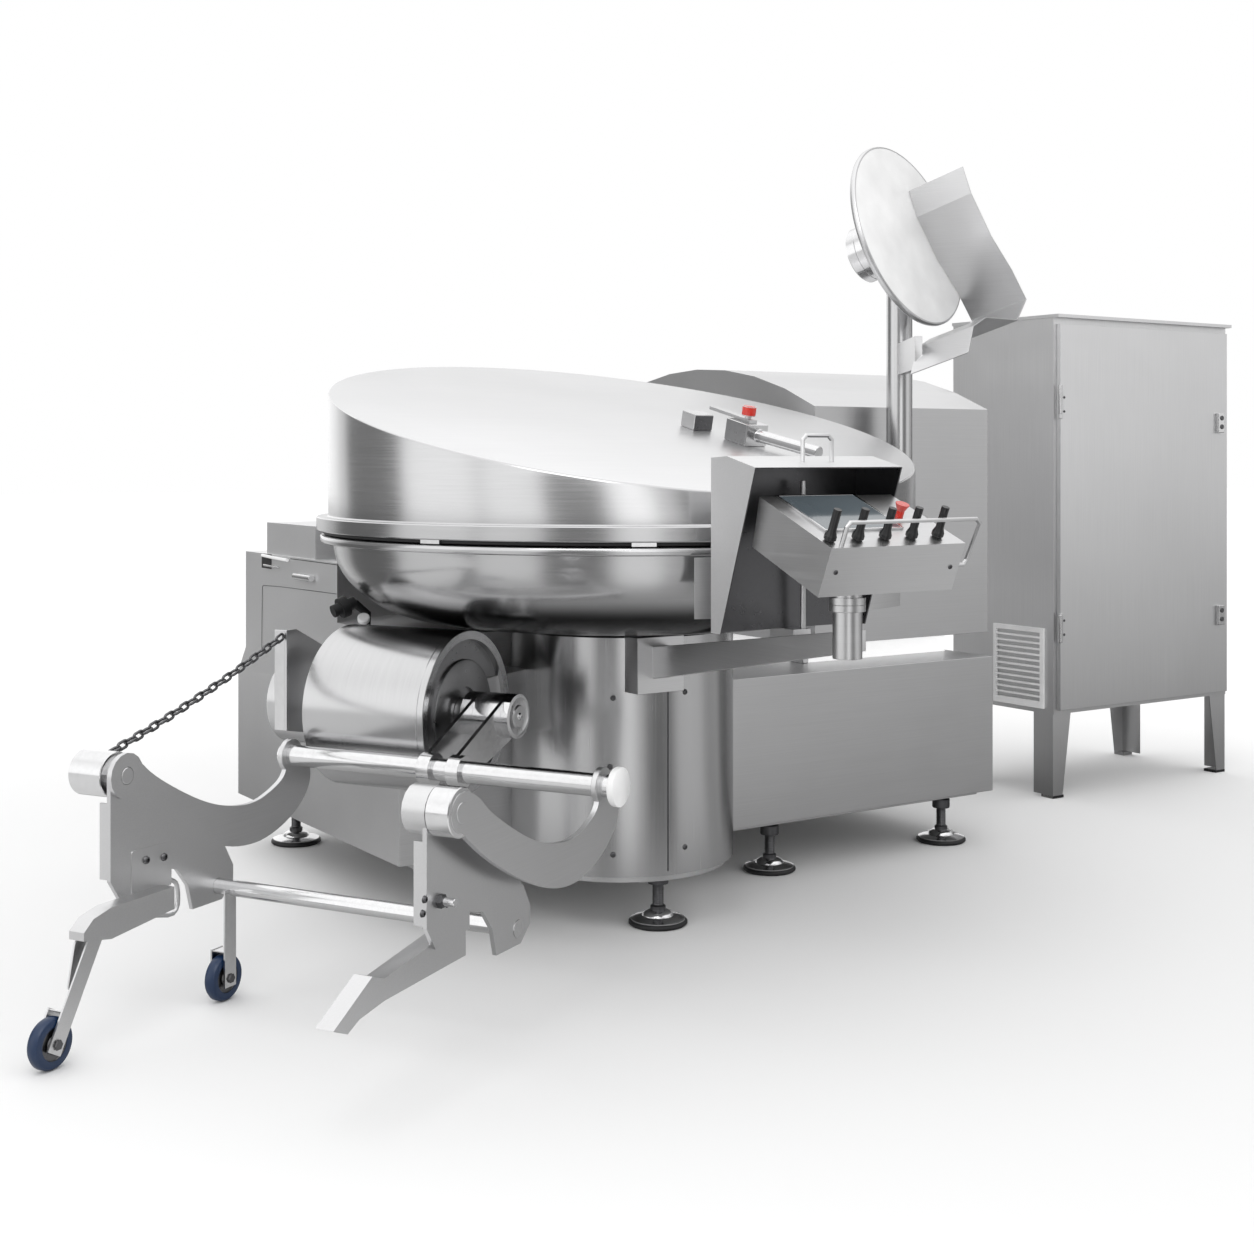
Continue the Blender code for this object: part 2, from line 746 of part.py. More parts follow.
def sideways(x=0.0, y=0.0, z=0.0):
    """Stands a plate up: its X becomes Y, its Y becomes up, its thickness runs along X."""
    turn = Matrix(((0, 0, 1, 0), (1, 0, 0, 0), (0, 1, 0, 0), (0, 0, 0, 1)))
    return Matrix.Translation((x, y, z)) @ turn


def along_y(x=0.0, y=0.0, z=0.0):
    """Lays a turned piece down: its local Z runs along Y."""
    return Matrix.Translation((x, y, z)) @ Matrix.Rotation(math.radians(-90.0), 4, "X")


def along_x(x=0.0, y=0.0, z=0.0):
    """Lays a turned piece down: its local Z runs along X."""
    return Matrix.Translation((x, y, z)) @ Matrix.Rotation(math.radians(90.0), 4, "Y")


def hang_on(piece, point):
    """Moves a piece's origin to a point on its joint's axis, with its shape where it was."""
    bpy.context.view_layer.update()
    shift = piece.matrix_local.inverted() @ Vector(point)
    piece.data.transform(Matrix.Translation(-shift))
    piece.matrix_local = piece.matrix_local @ Matrix.Translation(shift)
    return piece


def bore_radius(radius, steps=SMALL_STEPS):
    """Corner radius of a faceted bore whose flats clear a shaft that turns in it."""
    return (radius + GAP) / math.cos(math.pi / steps)


def base_plate():
    nose = arc(0.0, 0.0, BASE_NOSE_RADIUS, BASE_NOSE_RADIUS,
               math.radians(180.0), math.radians(360.0), ROUND_STEPS // 2)
    corner = [(BASE_NOSE_RADIUS, BASE_FRONT), (BASE_RIGHT, BASE_FRONT), (BASE_RIGHT, BASE_BACK),
              (BASE_LEFT, BASE_BACK), (BASE_LEFT, CASING_FRONT), (-BASE_NOSE_RADIUS, CASING_FRONT)]
    return plate("base_plate", nose + corner, BASE_HIGH - BASE_LOW, brushed, machine,
                 Matrix.Translation((0.0, 0.0, BASE_LOW)))


def levelling_foot(name, x, y):
    profile = [(0.0, BASE_LOW - GAP), (FOOT_NUT_RADIUS, BASE_LOW - GAP),
               (FOOT_NUT_RADIUS, BASE_LOW - FOOT_NUT_HEIGHT),
               (FOOT_STEM_RADIUS, BASE_LOW - FOOT_NUT_HEIGHT),
               (FOOT_STEM_RADIUS, FOOT_COLLAR_HIGH), (FOOT_COLLAR_RADIUS, FOOT_COLLAR_HIGH),
               (FOOT_COLLAR_RADIUS, FOOT_PAD_HIGH), (FOOT_PAD_RADIUS - FOOT_PAD_LOW, FOOT_PAD_HIGH),
               (FOOT_PAD_RADIUS, FOOT_PAD_LOW), (FOOT_PAD_RADIUS - FOOT_PAD_LOW / 2, 0.0), (0.0, 0.0)]
    return turned(name, profile, dark, machine, (x, y, 0.0), SMALL_STEPS)


def feet():
    levelling_foot("foot_front", FOOT_FRONT_X, FOOT_FRONT_Y)
    levelling_foot("foot_middle", FOOT_MIDDLE_X, FOOT_ROW_Y)
    levelling_foot("foot_right", FOOT_RIGHT_X, FOOT_ROW_Y)
    levelling_foot("foot_left", FOOT_LEFT_X, FOOT_BACK_Y)
    levelling_foot("foot_rear", FOOT_RIGHT_X, FOOT_BACK_Y)


def column():
    low = BASE_HIGH + GAP
    profile = [(SPINDLE_RADIUS + GAP, COLUMN_HIGH), (COLUMN_RADIUS, COLUMN_HIGH), (COLUMN_RADIUS, low),
               (COLUMN_RADIUS - COLUMN_WALL, low),
               (COLUMN_RADIUS - COLUMN_WALL, COLUMN_HIGH - 2 * COLUMN_WALL),
               (SPINDLE_RADIUS + GAP, COLUMN_HIGH - 2 * COLUMN_WALL)]
    return turned("column", profile, brushed, machine)


def bowl_ring():
    """Bearing ring with its spindle, fixed on the column."""
    low = COLUMN_HIGH + GAP
    high = low + RING_HEIGHT
    stem_low = COLUMN_HIGH - 2 * COLUMN_WALL
    profile = [(0.0, SPINDLE_HIGH), (SPINDLE_RADIUS, SPINDLE_HIGH), (SPINDLE_RADIUS, low + RING_HEIGHT / 3),
               (RING_INNER, low + RING_HEIGHT / 3), (RING_INNER, high), (RING_OUTER, high), (RING_OUTER, low),
               (SPINDLE_RADIUS, low), (SPINDLE_RADIUS, stem_low), (0.0, stem_low)]
    return turned("bowl_bearing_ring", profile, dark, machine)


def bowl():
    bottom = COLUMN_HIGH + RING_HEIGHT + 2 * GAP
    depth = TROUGH_LEVEL - bottom
    outer = arc(TROUGH_CENTRE, TROUGH_LEVEL, TROUGH_HALF, depth, RIM_TURN, math.radians(-90.0), TROUGH_STEPS)
    inner_half = TROUGH_HALF - BOWL_WALL
    inner = arc(TROUGH_CENTRE, TROUGH_LEVEL, inner_half, depth - BOWL_WALL,
                math.radians(-180.0), math.radians(0.0), 2 * TROUGH_STEPS)
    under_hub = [(RING_INNER, bottom), (RING_INNER, bottom + BOWL_WALL),
                 (BOWL_HUB_RADIUS, TROUGH_LEVEL - depth / 2),
                 (BOWL_HUB_RADIUS - BOWL_WALL, HUB_TOP - 2 * BOWL_WALL),
                 (SPINDLE_RADIUS + GAP, HUB_TOP - 2 * BOWL_WALL)]
    hub_top = [(SPINDLE_RADIUS + GAP, HUB_TOP), (BOWL_HUB_RADIUS, HUB_TOP)]
    lip = TROUGH_CENTRE + inner_half
    rim = [(lip, BOWL_RIM_HIGH), (BOWL_RIM_RADIUS, BOWL_RIM_HIGH), (BOWL_RIM_RADIUS, BOWL_RIM_LOW),
           (TROUGH_CENTRE + TROUGH_HALF, BOWL_RIM_LOW)]
    return turned("bowl", rim + outer + under_hub + hub_top + inner, polished, machine)


def shaft_notch(name):
    return box(name, (TROUGH_CENTRE, SHAFT_Y - LID_NOTCH_HALF, BOWL_RIM_LOW),
               (LID_RING_RADIUS + OVERRUN, SHAFT_Y + LID_NOTCH_HALF, LID_NOTCH_HIGH), dark, machine)


def slope_plane(height, inset=0.0):
    """Local frame on the lid's sloped top, lowered by an inset."""
    return (Matrix.Translation((0.0, 0.0, height)) @ Matrix.Rotation(LID_SLOPE, 4, "X")
            @ Matrix.Translation((0.0, 0.0, -inset)))


def above_slope(name, inset):
    """A block of everything above the lid's sloped top."""
    reach = 2 * LID_RING_RADIUS
    return box(name, (-reach, -reach, 0.0), (reach, reach, reach), dark, machine,
               slope_plane(LID_MIDDLE_TOP, inset))


def lid():
    top = LID_MIDDLE_TOP + LID_RADIUS
    profile = [(0.0, top), (LID_RADIUS, top), (LID_RADIUS, LID_RING_HIGH), (LID_RING_RADIUS, LID_RING_HIGH),
               (LID_RING_RADIUS, LID_RING_LOW), (0.0, LID_RING_LOW)]
    piece = turned("lid", profile, brushed, machine, steps=2 * ROUND_STEPS)
    cut(piece, above_slope("lid_top_cut", 0.0))
    inner = LID_RADIUS - LID_WALL
    hollow = turned("lid_hollow", [(0.0, top), (inner, top), (inner, LID_RING_LOW - OVERRUN),
                                   (0.0, LID_RING_LOW - OVERRUN)], dark, machine, steps=2 * ROUND_STEPS)
    cut(hollow, above_slope("lid_hollow_cut", LID_WALL))
    cut(piece, hollow, shaft_notch("lid_notch"))
    arms = []
    for side in (-HINGE_ARM_X, HINGE_ARM_X):
        inward = math.sqrt(LID_RADIUS ** 2 - side ** 2)
        arms.append(box("hinge_arm", (side - HINGE_ARM_HALF, inward, LID_RING_LOW),
                        (side + HINGE_ARM_HALF, HINGE_Y, LID_RING_HIGH + LAP), dark, machine))
        arms.append(rod("hinge_eye", (side - HINGE_ARM_HALF - LAP, HINGE_Y, HINGE_Z),
                        (side + HINGE_ARM_HALF + LAP, HINGE_Y, HINGE_Z), HINGE_EYE_RADIUS, dark, machine))
    join(piece, *arms)
    cut(piece, rod("hinge_bore", (HINGE_LEFT, HINGE_Y, HINGE_Z), (HINGE_RIGHT, HINGE_Y, HINGE_Z),
                   bore_radius(HINGE_ROD_RADIUS), dark, machine))
    return piece


def lid_seal():
    profile = [(LID_SEAL_INNER, LID_SEAL_HIGH), (LID_SEAL_OUTER, LID_SEAL_HIGH),
               (LID_SEAL_OUTER, LID_SEAL_LOW),
               (LID_SEAL_INNER, LID_SEAL_LOW)]
    piece = turned("lid_seal", profile, black, machine, steps=ROUND_STEPS)
    return cut(piece, shaft_notch("seal_notch"))


def hinge_shaft():
    """Fixed rod on two blocks, bolted to the casing's rear step."""
    piece = rod("lid_hinge_shaft", (HINGE_LEFT, HINGE_Y, HINGE_Z), (HINGE_RIGHT, HINGE_Y, HINGE_Z),
                HINGE_ROD_RADIUS, dark, machine)
    blocks = []
    for left in (HINGE_LEFT, HINGE_RIGHT - HINGE_BLOCK):
        blocks.append(box("hinge_block", (left, HINGE_Y - HINGE_BLOCK, CASING_STEP_HIGH + GAP),
                          (left + HINGE_BLOCK, HINGE_Y + HINGE_BLOCK, HINGE_Z + HINGE_BLOCK), dark, machine))
    return join(piece, *blocks)


def casing():
    low = BASE_HIGH + GAP
    outline = [(CASING_RIGHT, low), (CASING_RIGHT, CASING_HIGH), (CASING_LEFT, CASING_HIGH),
               (CASING_LEFT, CASING_FLARE_HIGH),
               (CASING_LEFT - CASING_FLARE, CASING_FLARE_HIGH - 3 * CASING_FLARE),
               (CASING_LEFT - CASING_FLARE, low)]
    piece = plate("side_casing", outline, CASING_BACK - CASING_FRONT, brushed, machine,
                  upright(0.0, CASING_BACK, 0.0))
    join(piece, box("casing_step", (CASING_STEP_LEFT, CASING_STEP_FRONT, CASING_HIGH - OVERRUN),
                    (CASING_RIGHT - LAP, CASING_STEP_BACK, CASING_STEP_HIGH), dark, machine))
    room_outline = [(CASING_RIGHT - SHEET, 0.0), (CASING_RIGHT - SHEET, CASING_HIGH - SHEET),
                    (CASING_LEFT + SHEET, CASING_HIGH - SHEET), (CASING_LEFT + SHEET, CASING_FLARE_HIGH),
                    (CASING_LEFT - CASING_FLARE + SHEET, CASING_FLARE_HIGH - 3 * CASING_FLARE),
                    (CASING_LEFT - CASING_FLARE + SHEET, 0.0)]
    room = plate("casing_room", room_outline, CASING_BACK - CASING_FRONT - 2 * SHEET, dark, machine,
                 upright(0.0, CASING_BACK - SHEET, 0.0))
    join(room, box("casing_step_room", (CASING_STEP_LEFT + SHEET, CASING_STEP_FRONT + SHEET,
                                        CASING_HIGH - 2 * OVERRUN),
                   (CASING_RIGHT - LAP - SHEET, CASING_STEP_BACK - SHEET,
                    CASING_STEP_HIGH - SHEET), dark, machine))
    cut(room, *casing_recesses("room", SHEET))
    return cut(piece, *casing_recesses("casing", 0.0), room)


def casing_recesses(name, wall):
    """Round recesses for the bowl, the column and the loader's drum, grown by a wall."""
    bowl_room = rod(name + "_bowl_recess", (0.0, 0.0, BOWL_RECESS_LOW - wall), (0.0, 0.0, 2 * HINGE_Z),
                    BOWL_RECESS_RADIUS + wall, dark, machine, 2 * ROUND_STEPS)
    column_room = rod(name + "_column_recess", (0.0, 0.0, -OVERRUN), (0.0, 0.0, 2 * COLUMN_HIGH),
                      COLUMN_RADIUS + BORE_GAP + wall, dark, machine, ROUND_STEPS)
    drum_room = rod(name + "_drum_recess", (DRUM_OUT, DRUM_LEFT - DRUM_ROOM - wall, DRUM_Z),
                    (DRUM_OUT, DRUM_RIGHT, DRUM_Z),
                    DRUM_RADIUS + DRUM_ROOM + wall, dark, loader, ROUND_STEPS)
    return bowl_room, column_room, drum_room


def casing_latch():
    x = CASING_LEFT - LATCH_RADIUS - GAP
    piece = rod("casing_latch", (x, LATCH_Y, LATCH_Z), (x, LATCH_Y + LATCH_LENGTH, LATCH_Z),
                LATCH_RADIUS, polished, machine)
    return hang_on(piece, (x, LATCH_Y, LATCH_Z))


def shell_box(name, low, high, wall, material):
    """A sheet-metal box that is open at the bottom."""
    piece = box(name, low, high, material, machine)
    inner_low = (low[0] + wall, low[1] + wall, low[2] - OVERRUN)
    inner_high = (high[0] - wall, high[1] - wall, high[2] - wall)
    return cut(piece, box(name + "_hollow", inner_low, inner_high, dark, machine))


def lower_housing():
    low = (LOWER_LEFT + BORE_GAP, LOWER_FRONT, BASE_HIGH + GAP)
    piece = shell_box("lower_housing", low, (LOWER_RIGHT, LOWER_BACK, LOWER_HIGH), SHEET, brushed)
    neck = box("housing_neck", (NECK_LEFT, LOWER_FRONT + NECK_INSET, LOWER_HIGH - SHEET / 2),
               (NECK_RIGHT, LOWER_BACK - NECK_INSET / 2, NECK_HIGH), dark, machine)
    join(piece, neck)
    return cut(piece, neck_passage("neck_hole", LOWER_HIGH, NECK_HIGH))


def neck_passage(name, low, high):
    """Hole that the belt runs through, from under one height to over the other."""
    front = LOWER_FRONT + NECK_INSET + NECK_WALL
    back = LOWER_BACK - NECK_INSET / 2 - NECK_WALL
    return box(name, (NECK_LEFT + NECK_WALL, front, low - OVERRUN),
               (NECK_RIGHT - NECK_WALL, back, high + OVERRUN), dark, machine)


def vault_outline(inset):
    """End outline of the upper housing: straight sides under one wide arc."""
    half = (UPPER_BACK - UPPER_FRONT) / 2
    rise = UPPER_CROWN - UPPER_EAVE
    radius = (half * half + rise * rise) / (2 * rise)
    middle = (UPPER_BACK + UPPER_FRONT) / 2
    centre = UPPER_CROWN - radius
    spread = math.asin((half - inset) / (radius - inset))
    top = arc(middle, centre, radius - inset, radius - inset, math.radians(90.0) - spread,
              math.radians(90.0) + spread, ROUND_STEPS // 4)
    return top


def upper_housing():
    outline = vault_outline(0.0) + [(UPPER_FRONT, UPPER_LOW), (UPPER_BACK, UPPER_LOW)]
    piece = plate("upper_housing", outline, UPPER_RIGHT - UPPER_LEFT, brushed, machine, sideways(UPPER_LEFT))
    inner = vault_outline(SHEET) + [(UPPER_FRONT + SHEET, UPPER_LOW + SHEET),
                                    (UPPER_BACK - SHEET, UPPER_LOW + SHEET)]
    hollow = plate("upper_hollow", inner, UPPER_RIGHT - UPPER_LEFT - 2 * SHEET, dark, machine,
                   sideways(UPPER_LEFT + SHEET))
    bore = rod("shaft_bore", (UPPER_LEFT - OVERRUN, SHAFT_Y, SHAFT_Z),
               (UPPER_LEFT + OVERRUN, SHAFT_Y, SHAFT_Z), BEARING_RADIUS + BORE_GAP, dark, machine)
    return cut(piece, hollow, bore, neck_passage("floor_hole", UPPER_LOW, UPPER_LOW))


def knife_shaft():
    piece = rod("knife_shaft", (SHAFT_LEFT, SHAFT_Y, SHAFT_Z),
                (SHAFT_RIGHT, SHAFT_Y, SHAFT_Z), SHAFT_RADIUS, dark, machine)
    ends = []
    pack_end = KNIFE_FIRST_X + KNIFE_COUNT * KNIFE_PITCH
    for left in (KNIFE_FIRST_X - CLAMP_WIDTH - GAP, pack_end):
        ends.append(rod("knife_clamp", (left, SHAFT_Y, SHAFT_Z), (left + CLAMP_WIDTH, SHAFT_Y, SHAFT_Z),
                        CLAMP_RADIUS, dark, machine))
    join(piece, *ends)
    return hang_on(piece, (SHAFT_LEFT, SHAFT_Y, SHAFT_Z))


def knife(index):
    """A curved single-wing knife with a round seat on the shaft."""
    wing = [(along * KNIFE_RADIUS, across * KNIFE_RADIUS) for along, across in KNIFE_SHARES]
    x = KNIFE_FIRST_X + index * KNIFE_PITCH + GAP
    turn = Matrix.Rotation(2 * math.pi * index / KNIFE_COUNT, 4, "Z")
    place = sideways(x, SHAFT_Y, SHAFT_Z) @ turn
    piece = plate("knife_%d" % (index + 1), wing, KNIFE_THICKNESS, polished, machine, place)
    seat = rod("knife_seat", (x, SHAFT_Y, SHAFT_Z), (x + KNIFE_THICKNESS, SHAFT_Y, SHAFT_Z),
               KNIFE_ROOT, dark, machine)
    bore = rod("knife_bore", (x - OVERRUN, SHAFT_Y, SHAFT_Z), (x + OVERRUN, SHAFT_Y, SHAFT_Z),
               SHAFT_RADIUS + GAP, dark, machine)
    join(piece, seat)
    return cut(piece, bore)


def knife_bearing():
    """Fixed sleeve that carries the shaft over the bowl's rim."""
    piece = rod("knife_bearing", (BEARING_LEFT, SHAFT_Y, SHAFT_Z), (BEARING_RIGHT, SHAFT_Y, SHAFT_Z),
                BEARING_RADIUS, dark, machine)
    flange_left = UPPER_LEFT + SHEET + GAP
    join(piece, rod("bearing_flange", (flange_left, SHAFT_Y, SHAFT_Z),
                    (flange_left + BEARING_FLANGE, SHAFT_Y, SHAFT_Z), BEARING_FLANGE_RADIUS, dark, machine))
    bore = rod("bearing_bore", (BEARING_LEFT - OVERRUN, SHAFT_Y, SHAFT_Z),
               (BEARING_RIGHT + OVERRUN, SHAFT_Y, SHAFT_Z), bore_radius(SHAFT_RADIUS), dark, machine)
    return cut(piece, bore)


def pulley(name, height, radius, bore):
    left = PULLEY_X - PULLEY_WIDTH / 2
    lip = BELT_THICKNESS
    profile = [(bore, PULLEY_WIDTH), (radius + lip / 2, PULLEY_WIDTH),
               (radius + lip / 2, PULLEY_WIDTH - lip / 2),
               (radius, PULLEY_WIDTH - lip / 2), (radius, lip / 2), (radius + lip / 2, lip / 2),
               (radius + lip / 2, 0.0), (bore, 0.0)]
    return turned(name, profile, dark, machine, steps=PULLEY_STEPS, matrix=along_x(left, SHAFT_Y, height))


def belt_outline(extra):
    """Loop round both pulleys, with its straight runs tangent to them."""
    reach = SHAFT_Z - MOTOR_Z
    top = SHAFT_PULLEY_RADIUS + BELT_GAP + extra
    bottom = MOTOR_PULLEY_RADIUS + BELT_GAP + extra
    lean = math.asin((bottom - top) / reach)
    upper = arc(SHAFT_Y, SHAFT_Z, top, top, lean, math.pi - lean, PULLEY_STEPS)
    lower = arc(SHAFT_Y, MOTOR_Z, bottom, bottom, math.pi - lean, 2 * math.pi + lean, PULLEY_STEPS)
    return upper + lower


def drive_belt():
    width = PULLEY_WIDTH - BELT_THICKNESS - 2 * GAP
    left = PULLEY_X - width / 2
    piece = plate("drive_belt", belt_outline(BELT_THICKNESS), width, black, machine, sideways(left))
    return cut(piece, plate("belt_inside", belt_outline(0.0), width + 2 * OVERRUN, dark, machine,
                            sideways(left - OVERRUN)))


def knife_motor():
    piece = rod("knife_motor", (MOTOR_LEFT, SHAFT_Y, MOTOR_Z), (MOTOR_RIGHT, SHAFT_Y, MOTOR_Z), MOTOR_RADIUS,
                dark, machine, ROUND_STEPS)
    foot = box("motor_foot", (MOTOR_LEFT + OVERRUN, SHAFT_Y - MOTOR_FOOT_HALF, BASE_HIGH + GAP),
               (MOTOR_RIGHT - OVERRUN, SHAFT_Y + MOTOR_FOOT_HALF, MOTOR_Z - MOTOR_RADIUS / 2), dark, machine)
    bore = rod("motor_bore", (MOTOR_RIGHT - 3 * OVERRUN, SHAFT_Y, MOTOR_Z),
               (MOTOR_RIGHT + OVERRUN, SHAFT_Y, MOTOR_Z), bore_radius(MOTOR_SHAFT_RADIUS), dark, machine)
    join(piece, foot)
    return cut(piece, bore)


def motor_pulley():
    piece = pulley("motor_pulley", MOTOR_Z, MOTOR_PULLEY_RADIUS, MOTOR_SHAFT_RADIUS - LAP)
    join(piece, rod("motor_shaft", (MOTOR_RIGHT - 2 * OVERRUN, SHAFT_Y, MOTOR_Z),
                    (PULLEY_X + PULLEY_WIDTH / 2 + LAP, SHAFT_Y, MOTOR_Z), MOTOR_SHAFT_RADIUS, dark, machine))
    return piece


def console_arm():
    """Tapered arm from the column's front to the console's post."""
    start_y = -math.sqrt(COLUMN_RADIUS ** 2 - ARM_FROM_X ** 2)
    outline = [(start_y + ARM_FLANGE, ARM_FROM_Z - ARM_FROM_HALF),
               (start_y + ARM_FLANGE, ARM_FROM_Z + ARM_FROM_HALF),
               (POST_Y, ARM_TO_Z + ARM_TO_HALF), (POST_Y, ARM_TO_Z - ARM_TO_HALF)]
    piece = plate("console_arm", outline, 2 * ARM_WIDTH_HALF, brushed, machine,
                  sideways(ARM_FROM_X - ARM_WIDTH_HALF))
    join(piece, box("arm_flange", (ARM_FROM_X - ARM_FLANGE_HALF, start_y - 2 * ARM_FLANGE,
                                   ARM_FROM_Z - ARM_FLANGE_HALF),
                    (ARM_FROM_X + ARM_FLANGE_HALF, start_y + 3 * ARM_FLANGE,
                     ARM_FROM_Z + ARM_FLANGE_HALF), dark, machine))
    post = [(0.0, POST_HIGH), (POST_COLLAR_RADIUS, POST_HIGH),
            (POST_COLLAR_RADIUS, POST_HIGH - POST_COLLAR_HEIGHT),
            (POST_RADIUS, POST_HIGH - POST_COLLAR_HEIGHT), (POST_RADIUS, POST_LOW), (0.0, POST_LOW)]
    join(piece, turned("console_post", post, brushed, machine, (POST_X, POST_Y, 0.0), ROUND_STEPS // 2))
    return cut(piece, rod("arm_column", (0.0, 0.0, 0.0), (0.0, 0.0, 2 * COLUMN_HIGH), COLUMN_RADIUS + GAP,
                          dark, machine, ROUND_STEPS))


def console_slope():
    return math.atan2(CONSOLE_REAR_Z - CONSOLE_FRONT_Z, CONSOLE_REAR_Y - CONSOLE_FRONT_Y)


def console_top(x, inset):
    """Local frame on the console's sloped top, an inset back from its front edge."""
    slope = console_slope()
    y = CONSOLE_FRONT_Y + inset * math.cos(slope)
    z = CONSOLE_FRONT_Z + inset * math.sin(slope)
    return Matrix.Translation((x, y, z)) @ Matrix.Rotation(slope, 4, "X")


def console_body():
    outline = [(CONSOLE_REAR_Y, CONSOLE_REAR_Z), (CONSOLE_FRONT_Y, CONSOLE_FRONT_Z),
               (CONSOLE_TOE_Y, CONSOLE_TOE_Z),
               (CONSOLE_HEEL_Y, CONSOLE_HEEL_Z)]
    piece = plate("console_body", outline, CONSOLE_RIGHT - CONSOLE_LEFT, brushed, machine,
                  sideways(CONSOLE_LEFT))
    collar = [(0.0, HEAD_COLLAR_HIGH), (POST_RADIUS, HEAD_COLLAR_HIGH),
              (POST_RADIUS, HEAD_COLLAR_LOW + POST_COLLAR_HEIGHT),
              (POST_COLLAR_RADIUS, HEAD_COLLAR_LOW + POST_COLLAR_HEIGHT),
              (POST_COLLAR_RADIUS, HEAD_COLLAR_LOW),
              (0.0, HEAD_COLLAR_LOW)]
    join(piece, turned("head_collar", collar, brushed, machine, (POST_X, POST_Y, 0.0), ROUND_STEPS // 2))
    join(piece, console_rail())
    well = turned("stop_well", [(0.0, OVERRUN), (STOP_STEM_RADIUS + BORE_GAP, OVERRUN),
                                (STOP_STEM_RADIUS + BORE_GAP, -STOP_SUNK - 2 * STOP_TRAVEL),
                                (0.0, -STOP_SUNK - 2 * STOP_TRAVEL)],
                  dark, machine, steps=SMALL_STEPS, matrix=console_top(STOP_X, STOP_INSET))
    cut(piece, well, *[trunnion("stick_groove", index, bore_radius(STICK_PIN_RADIUS), GAP)
                      for index in range(STICK_COUNT)])
    return hang_on(piece, (POST_X, POST_Y, HEAD_COLLAR_LOW))


def touch_screen():
    depth_to_back = math.hypot(CONSOLE_REAR_Y - CONSOLE_FRONT_Y, CONSOLE_REAR_Z - CONSOLE_FRONT_Z)
    frame = console_top(SCREEN_X, depth_to_back - SCREEN_BACK_INSET)
    return box("touch_screen", (-SCREEN_WIDTH / 2, -SCREEN_DEPTH, GAP),
               (SCREEN_WIDTH / 2, 0.0, SCREEN_THICKNESS),
               glass, machine, frame)


def joystick(index):
    profile = [(0.0, STICK_HEIGHT), (STICK_RADIUS, STICK_HEIGHT), (STICK_RADIUS, STICK_BOOT_HEIGHT),
               (STICK_BOOT_RADIUS, STICK_BOOT_HEIGHT / 2), (STICK_BOOT_RADIUS, STICK_LIFT),
               (STICK_NECK, STICK_LIFT),
               (STICK_NECK, 0.0), (0.0, 0.0)]
    frame = console_top(STICK_FIRST_X + index * STICK_PITCH, STICK_INSET)
    piece = turned("joystick_%d" % (index + 1), profile, black, machine, steps=SMALL_STEPS, matrix=frame)
    return join(piece, trunnion("trunnion", index, STICK_PIN_RADIUS, 0.0))


def trunnion(name, index, radius, room):
    """Short cross pin that a joystick tilts on, or with end room the groove for it."""
    half = STICK_PIN_HALF + room
    piece = rod(name, (-half, 0.0, 0.0), (half, 0.0, 0.0), radius, dark, machine)
    piece.matrix_local = console_top(STICK_FIRST_X + index * STICK_PITCH, STICK_INSET)
    return piece


def stop_button():
    profile = [(0.0, STOP_STEM_HEIGHT + STOP_CAP_HEIGHT),
               (STOP_CAP_RADIUS, STOP_STEM_HEIGHT + STOP_CAP_HEIGHT),
               (STOP_STEM_RADIUS, STOP_STEM_HEIGHT), (STOP_STEM_RADIUS, -STOP_SUNK), (0.0, -STOP_SUNK)]
    return turned("stop_button", profile, red, machine, steps=SMALL_STEPS,
                  matrix=console_top(STOP_X, STOP_INSET))


def console_rail():
    front = CONSOLE_FRONT_Y - RAIL_OUT
    bend = 2 * RAIL_RADIUS
    points = [(RAIL_LEFT, CONSOLE_FRONT_Y + bend, CONSOLE_FRONT_Z),
              (RAIL_LEFT, front, RAIL_HIGH - bend), (RAIL_LEFT + bend, front, RAIL_HIGH),
              (RAIL_RIGHT - bend, front, RAIL_HIGH), (RAIL_RIGHT, front, RAIL_HIGH - bend),
              (RAIL_RIGHT, RAIL_END_Y, RAIL_END_Z + bend), (RAIL_RIGHT - bend, RAIL_END_Y, RAIL_END_Z),
              (CONSOLE_RIGHT - bend, RAIL_END_Y, RAIL_END_Z)]
    return tube("console_rail", points, RAIL_RADIUS, polished, machine)


